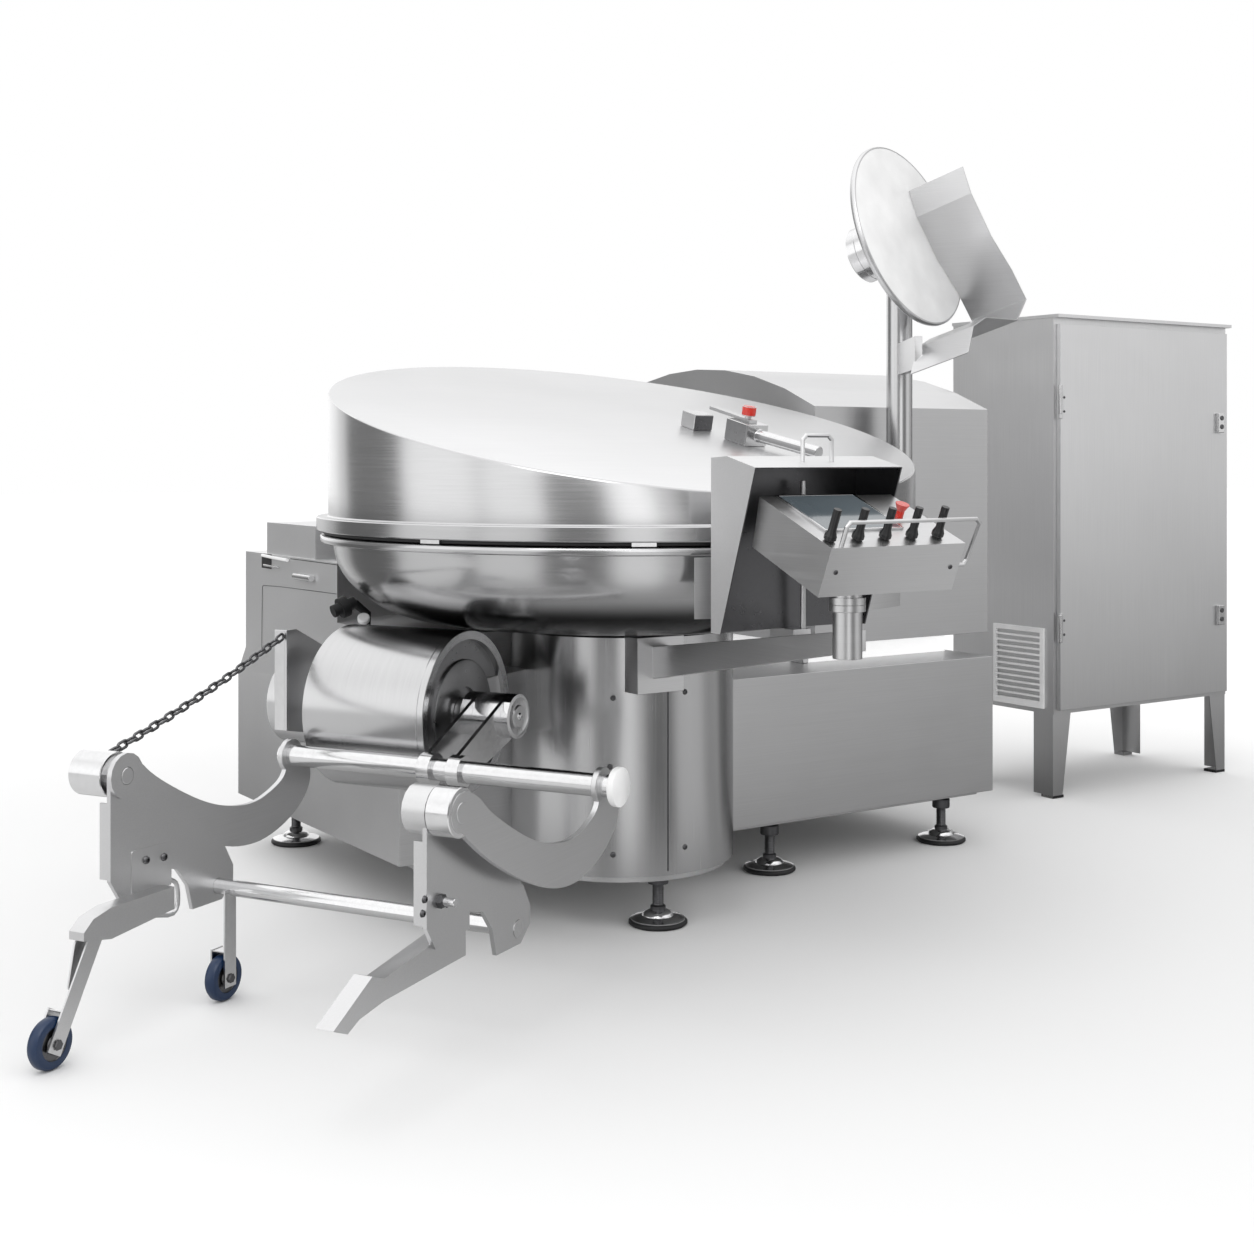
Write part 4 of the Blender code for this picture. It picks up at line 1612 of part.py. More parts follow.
def wheel_leg(name, top_out, top_z, out, side):
    """Straight bar from the frame to a wheel, with a cheek on each side and the axle."""
    cheek = WHEEL_WIDTH / 2 + WHEEL_FORK_GAP
    foot = Vector((out, side, WHEEL_RADIUS))
    top = Vector((top_out, side, top_z))
    along = top - foot
    lean = math.atan2(along.x, along.z)
    turn = Matrix.Translation(foot) @ Matrix.Rotation(lean, 4, "Y")
    half = LEG_WIDTH / 2
    bridge_z = WHEEL_RADIUS + 3 * WHEEL_FORK_GAP
    piece = box(name, (-half, cheek, -half), (half, cheek + WHEEL_FORK, along.length), brushed, loader, turn)
    inner = box("leg_cheek", (-half, -cheek - WHEEL_FORK, -half),
                (half, -cheek, bridge_z + WHEEL_FORK), dark, loader, turn)
    narrow = half - LAP
    bridge = box("leg_bridge", (-narrow, -cheek - LAP, bridge_z),
                 (narrow, cheek + LAP, bridge_z + WHEEL_FORK - LAP), dark, loader, turn)
    axle_half = cheek + WHEEL_FORK + LAP
    axle = rod("leg_axle", (out, side - axle_half, WHEEL_RADIUS), (out, side + axle_half, WHEEL_RADIUS),
               WHEEL_BORE - BORE_GAP, dark, loader)
    return join(piece, inner, bridge, axle)


def loader_wheels():
    wheel("front_wheel", FRONT_WHEEL_OUT, 0.0)
    wheel("rear_wheel", 0.0, WHEEL_SIDE)


def chain_link(name, centre, direction, across):
    """One oval link of round wire, lying along a direction."""
    side = direction.cross(across).normalized()
    points = []
    straight = CHAIN_PITCH / 2 + CHAIN_WIRE / 2 - CHAIN_LINK_HALF
    for turn in range(CHAIN_LINK_STEPS):
        angle = 2 * math.pi * (turn + LEVEL_SHARE) / CHAIN_LINK_STEPS
        x = CHAIN_LINK_HALF * math.cos(angle)
        y = CHAIN_LINK_HALF * math.sin(angle)
        x += straight if x > 0 else -straight
        points.append(centre + direction * x + side * y)
    curve = bpy.data.curves.new(name, "CURVE")
    curve.dimensions = "3D"
    curve.bevel_depth = CHAIN_WIRE
    curve.bevel_resolution = 0
    spline = curve.splines.new("POLY")
    spline.points.add(len(points) - 1)
    for point, place in zip(spline.points, points):
        point.co = (*place, 1.0)
    spline.use_cyclic_u = True
    return curve_to_piece(name, curve, dark, loader)


def guard_chain():
    start = Vector((ANCHOR_FRONT + CHAIN_END, ANCHOR_SIDE, ANCHOR_HIGH - 2 * ANCHOR_SHEET))
    end = Vector((SHACKLE_OUT, SHACKLE_SIDE, SHACKLE_Z))
    span = end - start
    count = round(span.length / CHAIN_PITCH)
    piece = None
    for index in range(count):
        share = (index + LEVEL_SHARE) / count
        sag = 4 * CHAIN_SAG * share * (1 - share)
        centre = start + span * share - Vector((0.0, 0.0, sag))
        slope = Vector((span.x, span.y, span.z - 4 * CHAIN_SAG * (1 - 2 * share))).normalized()
        upward = slope.cross(Vector((0.0, 1.0, 0.0))).normalized()
        across = upward if index % 2 else upward.cross(slope)
        link = chain_link("guard_chain" if piece is None else "link", centre, slope, across)
        piece = link if piece is None else join(piece, link)
    return piece


def pipe_union():
    """Hose elbow from the casing up to a clamped union, tilted under the bowl."""
    head = Vector((UNION_X - UNION_BEND, UNION_Y, UNION_HIGH + UNION_BEND * math.tan(UNION_TILT)))
    points = [(CASING_LEFT - GAP, UNION_Y, UNION_LOW), (UNION_X, UNION_Y, UNION_LOW),
              (UNION_X, UNION_Y, UNION_HIGH), tuple(head)]
    piece = tube("pipe_union", points, UNION_PIPE_RADIUS, black, machine)
    neck = UNION_NECK_RADIUS
    profile = [(0.0, UNION_LENGTH), (neck, UNION_LENGTH), (neck, 2 * UNION_RING),
               (UNION_RADIUS, 2 * UNION_RING),
               (UNION_RADIUS, UNION_RING), (neck, UNION_RING), (neck, -LAP), (0.0, -LAP)]
    place = Matrix.Translation(head) @ Matrix.Rotation(-math.radians(90.0) - UNION_TILT / 2, 4, "Y")
    return join(piece, turned("union_clamp", profile, polished, machine, steps=SMALL_STEPS, matrix=place))


def build():
    base_plate()
    feet()
    column()
    bowl_ring()
    bowl()
    lid()
    lid_seal()
    hinge_shaft()
    casing()
    casing_latch()
    lower_housing()
    upper_housing()
    knife_shaft()
    for index in range(KNIFE_COUNT):
        knife(index)
    knife_bearing()
    pulley("shaft_pulley", SHAFT_Z, SHAFT_PULLEY_RADIUS, bore_radius(SHAFT_RADIUS, PULLEY_STEPS))
    motor_pulley()
    drive_belt()
    knife_motor()
    console_arm()
    console_body()
    touch_screen()
    for index in range(STICK_COUNT):
        joystick(index)
    stop_button()
    splash_hood()
    bowl_guard()
    lid_clamp()
    latch_block()
    latch_lever()
    unloader_bracket()
    unloader_mast()
    unloader_disc()
    unloader_chute()
    cabinet()
    cabinet_door()
    for index, share in enumerate(LOCK_SHARES):
        cabinet_lock(index + 1, share)
    cabinet_grille()
    loader_drum()
    lift_levers()
    lift_arm()
    tube_cap()
    hangers()
    cross_bar()
    loader_wheels()
    guard_chain()
    pipe_union()


build()
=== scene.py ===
import json
import math

import bmesh
import bpy
from mathutils import Matrix, Vector


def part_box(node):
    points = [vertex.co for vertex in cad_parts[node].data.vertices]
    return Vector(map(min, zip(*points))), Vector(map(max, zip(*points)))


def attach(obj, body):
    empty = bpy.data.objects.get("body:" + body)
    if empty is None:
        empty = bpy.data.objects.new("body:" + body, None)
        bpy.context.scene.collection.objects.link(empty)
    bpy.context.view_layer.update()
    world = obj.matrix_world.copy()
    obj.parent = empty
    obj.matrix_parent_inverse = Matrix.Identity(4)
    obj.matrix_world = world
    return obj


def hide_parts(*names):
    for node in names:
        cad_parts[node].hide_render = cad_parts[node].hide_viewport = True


# Looks of the meat bowl cutter: brushed and polished stainless steel on a white studio floor.
# Places are in metres from the bowl's axis on the floor, X to the drive side, Y away from the operator.
# Loader pieces use the loader's own frame: X out of the machine, Y along its tube.

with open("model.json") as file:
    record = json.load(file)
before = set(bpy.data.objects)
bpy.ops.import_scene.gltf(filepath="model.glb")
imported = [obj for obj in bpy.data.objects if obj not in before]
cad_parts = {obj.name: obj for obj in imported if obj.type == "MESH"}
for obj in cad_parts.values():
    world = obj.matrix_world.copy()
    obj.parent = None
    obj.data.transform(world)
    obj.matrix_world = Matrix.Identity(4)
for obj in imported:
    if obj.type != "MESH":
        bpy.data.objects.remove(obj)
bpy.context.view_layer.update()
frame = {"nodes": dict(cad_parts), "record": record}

ring_low, ring_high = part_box("bowl")
BOWL_AXIS = Vector(((ring_low.x + ring_high.x) / 2, (ring_low.y + ring_high.y) / 2, 0.0))
MACHINE = Matrix.Translation(BOWL_AXIS)
LOADER_AT = Vector((-1.426, -0.162, 0.0))
LOADER_TURN = math.radians(210.0)
LOADER = MACHINE @ Matrix.Translation(LOADER_AT) @ Matrix.Rotation(LOADER_TURN, 4, "Z")

MERGE = 0.00005
FULL_TURN = 2 * math.pi
FINE_STEPS = 160
ROUND_STEPS = 64
SMALL_STEPS = 32
HEXAGON = 6
EDGE = 0.0025
SHEET_EDGE = 0.001
FINE_EDGE = 0.0008
EDGE_SECTIONS = 3
SKIN = 0.0004
SHEET_ANGLE = 30.0
CURVE_ANGLE = 40.0
SOFT_ANGLE = 50.0
FIXED = "machine_frame"

# Photograph's camera
CAMERA_FROM_BOWL = Vector((-3.0337, -4.6125, 1.47))
CAMERA_LOOK = Vector((0.552, 0.834, 0.0))
FOCAL_PIXELS = 1700.0
PHOTO_PIXELS = 1254.0
HORIZON_ABOVE = 172.0
SENSOR = 36.0

STEEL = (0.53, 0.53, 0.535)
CABINET_STEEL = (0.72, 0.72, 0.725)
PALE_STEEL = (0.63, 0.63, 0.635)
BRIGHT_STEEL = (0.68, 0.68, 0.685)
GREY_STEEL = (0.52, 0.52, 0.525)
DARK_STEEL = (0.13, 0.13, 0.135)
MID_STEEL = (0.30, 0.30, 0.305)
BLACK = (0.008, 0.008, 0.009)
RED = (0.62, 0.025, 0.012)
BLUE = (0.003, 0.020, 0.065)
WHITE = (0.86, 0.86, 0.86)
GREY_DRIFT = (0.90, 0.92)
BAND_DRIFT = (0.84, 0.90)
SCREEN_DARK = (0.075, 0.095, 0.11)
SCREEN_LIGHT = (0.16, 0.19, 0.21)
NOTHING = (0.0, 0.0, 0.0, 1.0)
FULL_WHITE = (1.0, 1.0, 1.0, 1.0)

# Grain of the brushed sheet: how tightly its streaks lie along X, Y and Z
ALONG_X = (3.0, 420.0, 420.0)
ALONG_Z = (420.0, 420.0, 3.0)
AROUND_Z = (4.0, 4.0, 420.0)
NO_GRAIN = (60.0, 60.0, 60.0)
STREAK_TONE = 0.16
FINE_TONE = 0.08
STREAK_GLOSS = 0.14
MARK_GLOSS = 0.07
STREAK_DEPTH = 0.0006
GRAIN_DEPTH = 0.0004

# White strip in the slot between the housings, and the painted glow that stands in for the light behind it
NECK_LOW = 0.7005
NECK_HIGH = 0.7690
BAND_GLOW = 0.55

# Lid: its sloped top, its wall and the ring at its foot
LID_SLOPE = 0.2316
LID_MIDDLE = 1.578
LID_RADIUS = 0.940
LID_RING = 0.977
LID_LOW = 1.2355
LID_RING_HIGH = 1.2780
LID_FRAME_TURN = Matrix.Rotation(math.atan(LID_SLOPE), 4, "X")
LATCH_PLACE = (0.270, -0.300)
CLAMP_PLACE = (0.235, -0.085)

# Casing's left face, and the console's sloped top and front
CASING_FACE = -0.6702
CONSOLE_FRONT = (-1.4435, 1.243)
CONSOLE_FOOT = (-1.392, 1.120)
CONSOLE_RUN = 0.2845
CONSOLE_RISE = 0.120
CONSOLE_TOP = math.atan2(CONSOLE_RISE, CONSOLE_RUN)

# Unloader: its mast, and the disc's centre and facing
MAST = (1.300, 0.100)
DISC_NORMAL = Vector((0.281, -0.915, 0.288)).normalized()
DISC_AT = Vector((1.2075, -0.0436, 2.262))

# Loader, in its own frame: distance out and height of the drum, the tube and the hangers' pins
DRUM = (-0.635, 0.715)
TUBE = (-0.360, 0.600)
PIN = (0.340, 0.660)
CATCH = (0.335, 0.452)
DRUM_LOW = -0.0115
DRUM_HIGH = 0.408
DRUM_RADIUS = 0.240
WHEEL_RADIUS = 0.0625

# Guard chain, link by link
CHAIN_START = Vector((-0.3978, -0.080, 0.939))
CHAIN_END = Vector((0.292, -0.095, 0.704))
CHAIN_PITCH = 0.030
CHAIN_WIRE = 0.0040
CHAIN_HALF = 0.0092
CHAIN_SAG = 0.012
LINK_POINTS = 16
LINK_SIDES = 10

# Dark flags and soft boxes round the studio, lit in the world and painted into the floor's colour for
# glossy rays, which the steel shows: heading, half width, edge, strength
FLAGS = ((-38.0, 15.0, 7.0, -0.72), (-133.0, 9.0, 7.0, -0.62), (-184.0, 10.0, 8.0, -0.70),
         (82.0, 14.0, 9.0, -0.75), (116.0, 6.0, 6.0, -0.35))
SOFT_BOXES = ((-76.0, 13.0, 6.0, 0.45), (-108.0, 9.0, 5.0, 0.40), (-151.0, 6.0, 5.0, 0.85),
              (5.0, 9.0, 8.0, 0.35), (144.0, 10.0, 10.0, 0.10))
FLOOR_REACH = 60.0
FLOOR_DROP = 0.0005
SHOWN_FLOOR = 0.60
# Painted shade: the floor's colour under the machine, as glossy rays see it
PAINTED_SHADE_BELOW = 0.55
FAR_GLOW = 0.14
AMBIENT = 1.05
KEY_POWER = 60.0


class Wire:
    """A node socket that can stand in a sum, or feed another node."""

    def __init__(self, tree, socket):
        self.tree = tree
        self.socket = socket

    def node(self, kind, output=0, settings=None, **inputs):
        """Adds a node, sets its properties and inputs, and returns one of its outputs."""
        made = self.tree.nodes.new(kind)
        for name, value in (settings or {}).items():
            setattr(made, name, value)
        for name, value in inputs.items():
            place = int(name[1:]) if name[1:].isdigit() else name.replace("_", " ")
            if isinstance(value, Wire):
                self.tree.links.new(value.socket, made.inputs[place])
            else:
                made.inputs[place].default_value = value
        return Wire(self.tree, made.outputs[output])

    def maths(self, operation, first, second=0.0, third=0.0):
        return self.node("ShaderNodeMath", 0, {"operation": operation}, i0=first, i1=second, i2=third)

    def __add__(self, other):
        return self.maths("ADD", self, other)

    def __radd__(self, other):
        return self.maths("ADD", other, self)

    def __sub__(self, other):
        return self.maths("SUBTRACT", self, other)

    def __rsub__(self, other):
        return self.maths("SUBTRACT", other, self)

    def __mul__(self, other):
        return self.maths("MULTIPLY", self, other)

    def __rmul__(self, other):
        return self.maths("MULTIPLY", other, self)

    def __truediv__(self, other):
        return self.maths("DIVIDE", self, other)

    def __rtruediv__(self, other):
        return self.maths("DIVIDE", other, self)

    def ramp(self, low, high, from_value=0.0, to_value=1.0):
        """Eases from one value to another as this one goes from low to high."""
        return self.node("ShaderNodeMapRange", 0, {"interpolation_type": "SMOOTHSTEP"}, Value=self,
                         From_Min=low, From_Max=high, To_Min=from_value, To_Max=to_value)

    def mixed(self, first, second):
        """Colour between two colours, by this value."""
        return self.node("ShaderNodeMix", 2, {"data_type": "RGBA"}, i0=self, i6=first, i7=second)

    def part(self, index):
        """X, Y or Z of a vector."""
        return self.node("ShaderNodeSeparateXYZ", index, None, Vector=self)


def rgba(colour, scale=1.0):
    """Colour with its alpha, brighter or darker by the scale."""
    return (colour[0] * scale, colour[1] * scale, colour[2] * scale, 1.0)


def start_material(name):
    """New material, its tree and shader, and the place of the shaded point on its piece."""
    material = bpy.data.materials.new(name)
    material.use_nodes = True
    tree = material.node_tree
    shader = tree.nodes["Principled BSDF"]
    place = tree.nodes.new("ShaderNodeTexCoord")
    return material, tree, shader, Wire(tree, place.outputs["Object"])


def feed(tree, shader, **inputs):
    """Sets or links sockets of a shader by name."""
    for name, value in inputs.items():
        place = shader.inputs[name.replace("_", " ")]
        if isinstance(value, Wire):
            tree.links.new(value.socket, place)
        else:
            place.default_value = value


def noise(place, scale, detail=3.0, stretch=(1.0, 1.0, 1.0)):
    """Noise over the piece, drawn out by the stretch."""
    spread = place.node("ShaderNodeMapping", 0, None, Vector=place, Scale=stretch)
    return place.node("ShaderNodeTexNoise", 0, None, Vector=spread, Scale=scale, Detail=detail)


def bump(place, height, strength, distance):
    return place.node("ShaderNodeBump", 0, None, Height=height, Strength=strength, Distance=distance)


def steel(name, colour, roughness, stretch, strength=0.12, cloud=0.10, shade=None):
    """Brushed stainless steel: fine streaks along one way, with soft clouding and smudges."""
    material, tree, shader, place = start_material(name)
    streaks = noise(place, 1.0, 6.0, stretch)
    fine = noise(place, 2.7, 3.0, stretch)
    clouds = noise(place, 2.2, 3.0)
    marks = noise(place, 9.0, 5.0)
    tone = 1.0 + (clouds - 0.5) * cloud + (streaks - 0.5) * STREAK_TONE + (fine - 0.5) * FINE_TONE
    # Painted shade: an optional shade function darkens the base colour.
    if shade is not None:
        tone = tone * shade(place)
    base = (tone * 0.5).mixed(NOTHING, rgba(colour, 2.0))
    rough = roughness + (streaks - 0.5) * STREAK_GLOSS + (marks - 0.5) * MARK_GLOSS
    feed(tree, shader, Base_Color=base, Metallic=1.0, Roughness=rough,
         Normal=bump(place, streaks + fine * 0.5, strength, STREAK_DEPTH))
    return material


def plastic(name, colour, roughness, scale=240.0, strength=0.1, coat=0.0):
    """Moulded plastic or rubber with a fine grain and slight colour drift."""
    material, tree, shader, place = start_material(name)
    grain = noise(place, scale, 2.0)
    drift = noise(place, 7.0, 3.0)
    base = drift.mixed(rgba(colour, 0.82), rgba(colour, 1.18))
    feed(tree, shader, Base_Color=base, Roughness=roughness + (drift - 0.5) * 0.12, Coat_Weight=coat,
         Normal=bump(place, grain, strength, GRAIN_DEPTH))
    return material


def screen_glass(name):
    """Blue-grey touch screen behind glass, lighter towards one corner."""
    material, tree, shader, place = start_material(name)
    drift = noise(place, 3.0, 2.0)
    across = (place.part(0) + place.part(1)).ramp(-2.6, -2.0)
    field = (drift * 0.5 + across * 0.5).mixed(rgba(SCREEN_DARK), rgba(SCREEN_LIGHT))
    feed(tree, shader, Base_Color=field, Roughness=0.10 + drift * 0.05, Coat_Weight=0.6)
    return material


def glowing_band(name):
    """White filler strip in the slot between the housings, with a painted glow on its white that stands in
    for the light behind it.
    """
    material, tree, shader, place = start_material(name)
    dark, light = BAND_DRIFT
    base = noise(place, 5.0, 2.0).mixed((dark, dark, dark, 1.0), (light, light, light, 1.0))
    feed(tree, shader, Base_Color=base, Roughness=0.5, Emission_Color=FULL_WHITE,
         Emission_Strength=BAND_GLOW)
    return material


def painted_underside_shade(place):
    """Painted shade: the bowl darkens towards its underside, which gets no light from the floor below it.
    """
    return place.part(2).ramp(1.010, 1.075, 0.06, 1.0)


def painted_shade_towards_floor(place):
    """Painted shade: tall sheets darken slowly towards the floor and lighten a little near their top."""
    return place.part(2).ramp(0.2, 1.7, 0.84, 1.04)


plain = steel("brushed_sheet", PALE_STEEL, 0.32, AROUND_Z)
upright_grain = steel("brushed_upright", STEEL, 0.24, ALONG_Z, 0.06)
lid_side = steel("lid_side_steel", STEEL, 0.20, AROUND_Z, 0.04)
lid_top = steel("lid_top_steel", BRIGHT_STEEL, 0.36, ALONG_X, 0.14)
# Bowl steel carries the painted shade on its underside.
bowl_steel = steel("bowl_steel", STEEL, 0.20, AROUND_Z, 0.04, shade=painted_underside_shade)
bright = steel("polished_steel", BRIGHT_STEEL, 0.16, NO_GRAIN, 0.03)
cast = steel("machined_steel", DARK_STEEL, 0.38, NO_GRAIN, 0.2)
mid_steel = steel("mid_steel", MID_STEEL, 0.30, NO_GRAIN, 0.08)
# Dark steel for dark parts and seams, also used as painted shade on the hood and the clamp block.
dark_steel_and_shade = steel("dark_steel_and_painted_shade", DARK_STEEL, 0.30, NO_GRAIN, 0.1)
drum_steel = steel("drum_steel", STEEL, 0.22, AROUND_Z, 0.05)
# Cabinet steel carries the painted shade towards the floor.
cabinet_steel = steel("cabinet_steel", CABINET_STEEL, 0.40, ALONG_Z, 0.10, shade=painted_shade_towards_floor)
housing_steel = steel("housing_steel", GREY_STEEL, 0.36, ALONG_X, 0.10)
casing_steel = steel("casing_steel", CABINET_STEEL, 0.48, ALONG_X, 0.08)
vault_steel = steel("vault_steel", PALE_STEEL, 0.34, ALONG_X, 0.10)
loader_steel = steel("loader_steel", PALE_STEEL, 0.34, ALONG_X, 0.10)
chain_steel = steel("chain_steel", DARK_STEEL, 0.26, NO_GRAIN, 0.1)
rubber = plastic("black_rubber", BLACK, 0.55, 180.0, 0.25)
black_plastic = plastic("black_plastic", BLACK, 0.38, 260.0, 0.12, 0.2)
red_plastic = plastic("red_plastic", RED, 0.25, 260.0, 0.05, 0.5)
blue_tyre = plastic("blue_tyre", BLUE, 0.42, 200.0, 0.15, 0.1)
white_plastic = plastic("white_plastic", WHITE, 0.34, 200.0, 0.04, 0.1)
glass = screen_glass("screen_glass")
# White strip with a painted glow.
painted_glow_band = glowing_band("white_band_painted_glow")

BODY_OF = {node: body for body, nodes in frame["record"]["behaviour"]["bodies"].items() for node in nodes}


def finish_piece(name, shape, material, body, nodes=(), place=MACHINE, bevel=0.0, angle=35.0):
    """Turns a bmesh into a smooth piece that rides on a body and may stand for CAD nodes."""
    mesh = bpy.data.meshes.new(name)
    bmesh.ops.remove_doubles(shape, verts=shape.verts, dist=MERGE)
    bmesh.ops.recalc_face_normals(shape, faces=shape.faces)
    shape.to_mesh(mesh)
    shape.free()
    mesh.materials.append(material)
    piece = bpy.data.objects.new(name, mesh)
    piece.matrix_world = place
    bpy.context.scene.collection.objects.link(piece)
    mesh.shade_smooth()
    mesh.set_sharp_from_angle(angle=math.radians(angle))
    if bevel:
        rounding = piece.modifiers.new("edges", "BEVEL")
        rounding.width = bevel
        rounding.segments = EDGE_SECTIONS
        rounding.limit_method = "ANGLE"
        rounding.angle_limit = math.radians(angle)
        rounding.harden_normals = True
    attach(piece, body)
    if nodes:
        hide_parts(*nodes)
    return piece


def rounded(node, material, bevel=EDGE, angle=SHEET_ANGLE):
    """The CAD node's own shape, with its sheet edges rounded."""
    shape = bmesh.new()
    shape.from_mesh(frame["nodes"][node].data)
    bmesh.ops.remove_doubles(shape, verts=shape.verts, dist=MERGE)
    bmesh.ops.dissolve_limit(shape, angle_limit=math.radians(0.8), verts=shape.verts, edges=shape.edges)
    return finish_piece(node + "_shell", shape, material, BODY_OF[node], (node,), Matrix.Identity(4), bevel,
                        angle)


def paint(piece, material, chosen):
    """Gives another material to the faces whose centre passes the test."""
    piece.data.materials.append(material)
    index = len(piece.data.materials) - 1
    turn = piece.matrix_world.to_3x3()
    for face in piece.data.polygons:
        if chosen(piece.matrix_world @ face.center, turn @ face.normal):
            face.material_index = index


def turned(name, profile, material, body, nodes=(), place=MACHINE, steps=ROUND_STEPS, angle=35.0):
    """A profile of radius and height turned about the place's Z."""
    shape = bmesh.new()
    rings = []
    for radius, height in profile:
        if radius < MERGE:
            rings.append([shape.verts.new((0.0, 0.0, height))])
            continue
        turns = [FULL_TURN * step / steps for step in range(steps)]
        rings.append([shape.verts.new((radius * math.cos(turn), radius * math.sin(turn), height))
                      for turn in turns])
    for lower, upper in zip(rings, rings[1:] + rings[:1]):
        if len(lower) == 1 and len(upper) == 1:
            continue
        for step in range(steps):
            after = (step + 1) % steps
            corners = [lower[step % len(lower)], lower[after % len(lower)], upper[after % len(upper)],
                       upper[step % len(upper)]]
            shape.faces.new(list(dict.fromkeys(corners)))
    return finish_piece(name, shape, material, body, nodes, place, 0.0, angle)


def slab(name, outline, thickness, material, body, place=MACHINE, bevel=EDGE):
    """A flat outline in the place's X and Y, thick along its Z."""
    shape = bmesh.new()
    face = shape.faces.new([shape.verts.new((x, y, 0.0)) for x, y in outline])
    grown = bmesh.ops.extrude_face_region(shape, geom=[face])
    moved = [item for item in grown["geom"] if isinstance(item, bmesh.types.BMVert)]
    bmesh.ops.translate(shape, vec=(0.0, 0.0, thickness), verts=moved)
    return finish_piece(name, shape, material, body, (), place, bevel, SHEET_ANGLE)


def block(name, low, high, material, body, place=MACHINE, bevel=EDGE):
    """A box between two corners."""
    outline = [(low[0], low[1]), (high[0], low[1]), (high[0], high[1]), (low[0], high[1])]
    return slab(name, outline, high[2] - low[2], material, body,
                place @ Matrix.Translation((0.0, 0.0, low[2])), bevel)


def towards(start, end):
    """A place at start with its Z along the line to end."""
    along = Vector(end) - Vector(start)
    return Matrix.Translation(start) @ along.to_track_quat("Z", "Y").to_matrix().to_4x4(), along.length


def rod(name, start, end, radius, material, body, nodes=(), place=MACHINE, steps=SMALL_STEPS, edge=0.0015):
    """A round bar between two points, its rims eased."""
    turn, length = towards(start, end)
    profile = [(0.0, 0.0), (radius - edge, 0.0), (radius, edge), (radius, length - edge),
               (radius - edge, length),
               (0.0, length)]
    return turned(name, profile, material, body, nodes, place @ turn, steps)


def bar(name, points, radius, material, body, nodes=(), place=MACHINE, closed=False, soft=2, sides=12):
    """A round bar swept along points, its corners eased."""
    path = eased(points, soft, closed)
    shape = bmesh.new()
    rings = []
    across = None
    count = len(path)
    for index, spot in enumerate(path):
        before = path[index - 1] if closed or index else spot
        after = path[(index + 1) % count] if closed or index < count - 1 else spot
        along = (after - before).normalized()
        if across is None:
            across = along.orthogonal().normalized()
        across = (across - along * across.dot(along)).normalized()
        lift = along.cross(across)
        rings.append([shape.verts.new(spot + (across * math.cos(turn) + lift * math.sin(turn)) * radius)
                      for turn in (FULL_TURN * side / sides for side in range(sides))])
    pairs = list(zip(rings, rings[1:] + rings[:1])) if closed else list(zip(rings, rings[1:]))
    for first, second in pairs:
        for side in range(sides):
            after = (side + 1) % sides
            shape.faces.new([first[side], first[after], second[after], second[side]])
    if not closed:
        shape.faces.new(rings[0])
        shape.faces.new(rings[-1])
    return finish_piece(name, shape, material, body, nodes, place, 0.0, SOFT_ANGLE)


def eased(points, rounds, closed=False):
    """Cuts a path's corners a few times, which leaves it smooth."""
    path = [Vector(point) for point in points]
    for _ in range(rounds):
        pairs = list(zip(path, path[1:] + path[:1])) if closed else list(zip(path, path[1:]))
        cut = []
        for first, second in pairs:
            cut.append(first.lerp(second, 0.25))
            cut.append(first.lerp(second, 0.75))
        path = cut if closed else [path[0]] + cut[1:-1] + [path[-1]]
    return path


def softened(points, reach):
    """Closed outline with each corner cut back by a reach and rounded."""
    corners = [Vector(point) for point in points]
    outline = []
    for index, here in enumerate(corners):
        before, after = corners[index - 1], corners[(index + 1) % len(corners)]
        back = min(reach, (before - here).length * 0.45)
        ahead = min(reach, (after - here).length * 0.45)
        start = here + (before - here).normalized() * back
        end = here + (after - here).normalized() * ahead
        for share in (0.0, 0.25, 0.5, 0.75, 1.0):
            outline.append(tuple(start.lerp(here, share).lerp(here.lerp(end, share), share)))
    return outline


def along_y(x, y, z):
    """A place whose Z runs along Y."""
    return Matrix.Translation((x, y, z)) @ Matrix.Rotation(math.radians(-90.0), 4, "X")


def upright(side):
    """Stands a slab up: its X stays, its Y becomes up, its thickness runs along -Y from the side."""
    return Matrix.Translation((0.0, side, 0.0)) @ Matrix.Rotation(math.radians(90.0), 4, "X")


def arc(centre_x, centre_y, radius_x, radius_y, start, end, steps):
    """Points of an oval arc between two angles."""
    points = []
    for index in range(steps + 1):
        angle = start + (end - start) * index / steps
        points.append((centre_x + radius_x * math.cos(angle), centre_y + radius_y * math.sin(angle)))
    return points


def screw(name, spot, facing, radius, body, place=MACHINE, material=None, high=0.5):
    """Domed screw head with a recess, standing on a face."""
    spot, facing = Vector(spot), Vector(facing)
    turn, _ = towards(spot - facing * 0.0005, spot + facing)
    top = radius * high
    profile = [(0.0, top * 0.5), (radius * 0.42, top * 0.5), (radius * 0.45, top),
               (radius * 0.8, top * 0.8), (radius, 0.0), (0.0, 0.0)]
    return turned(name, profile, material or bright, body, (), place @ turn, 18, SOFT_ANGLE)


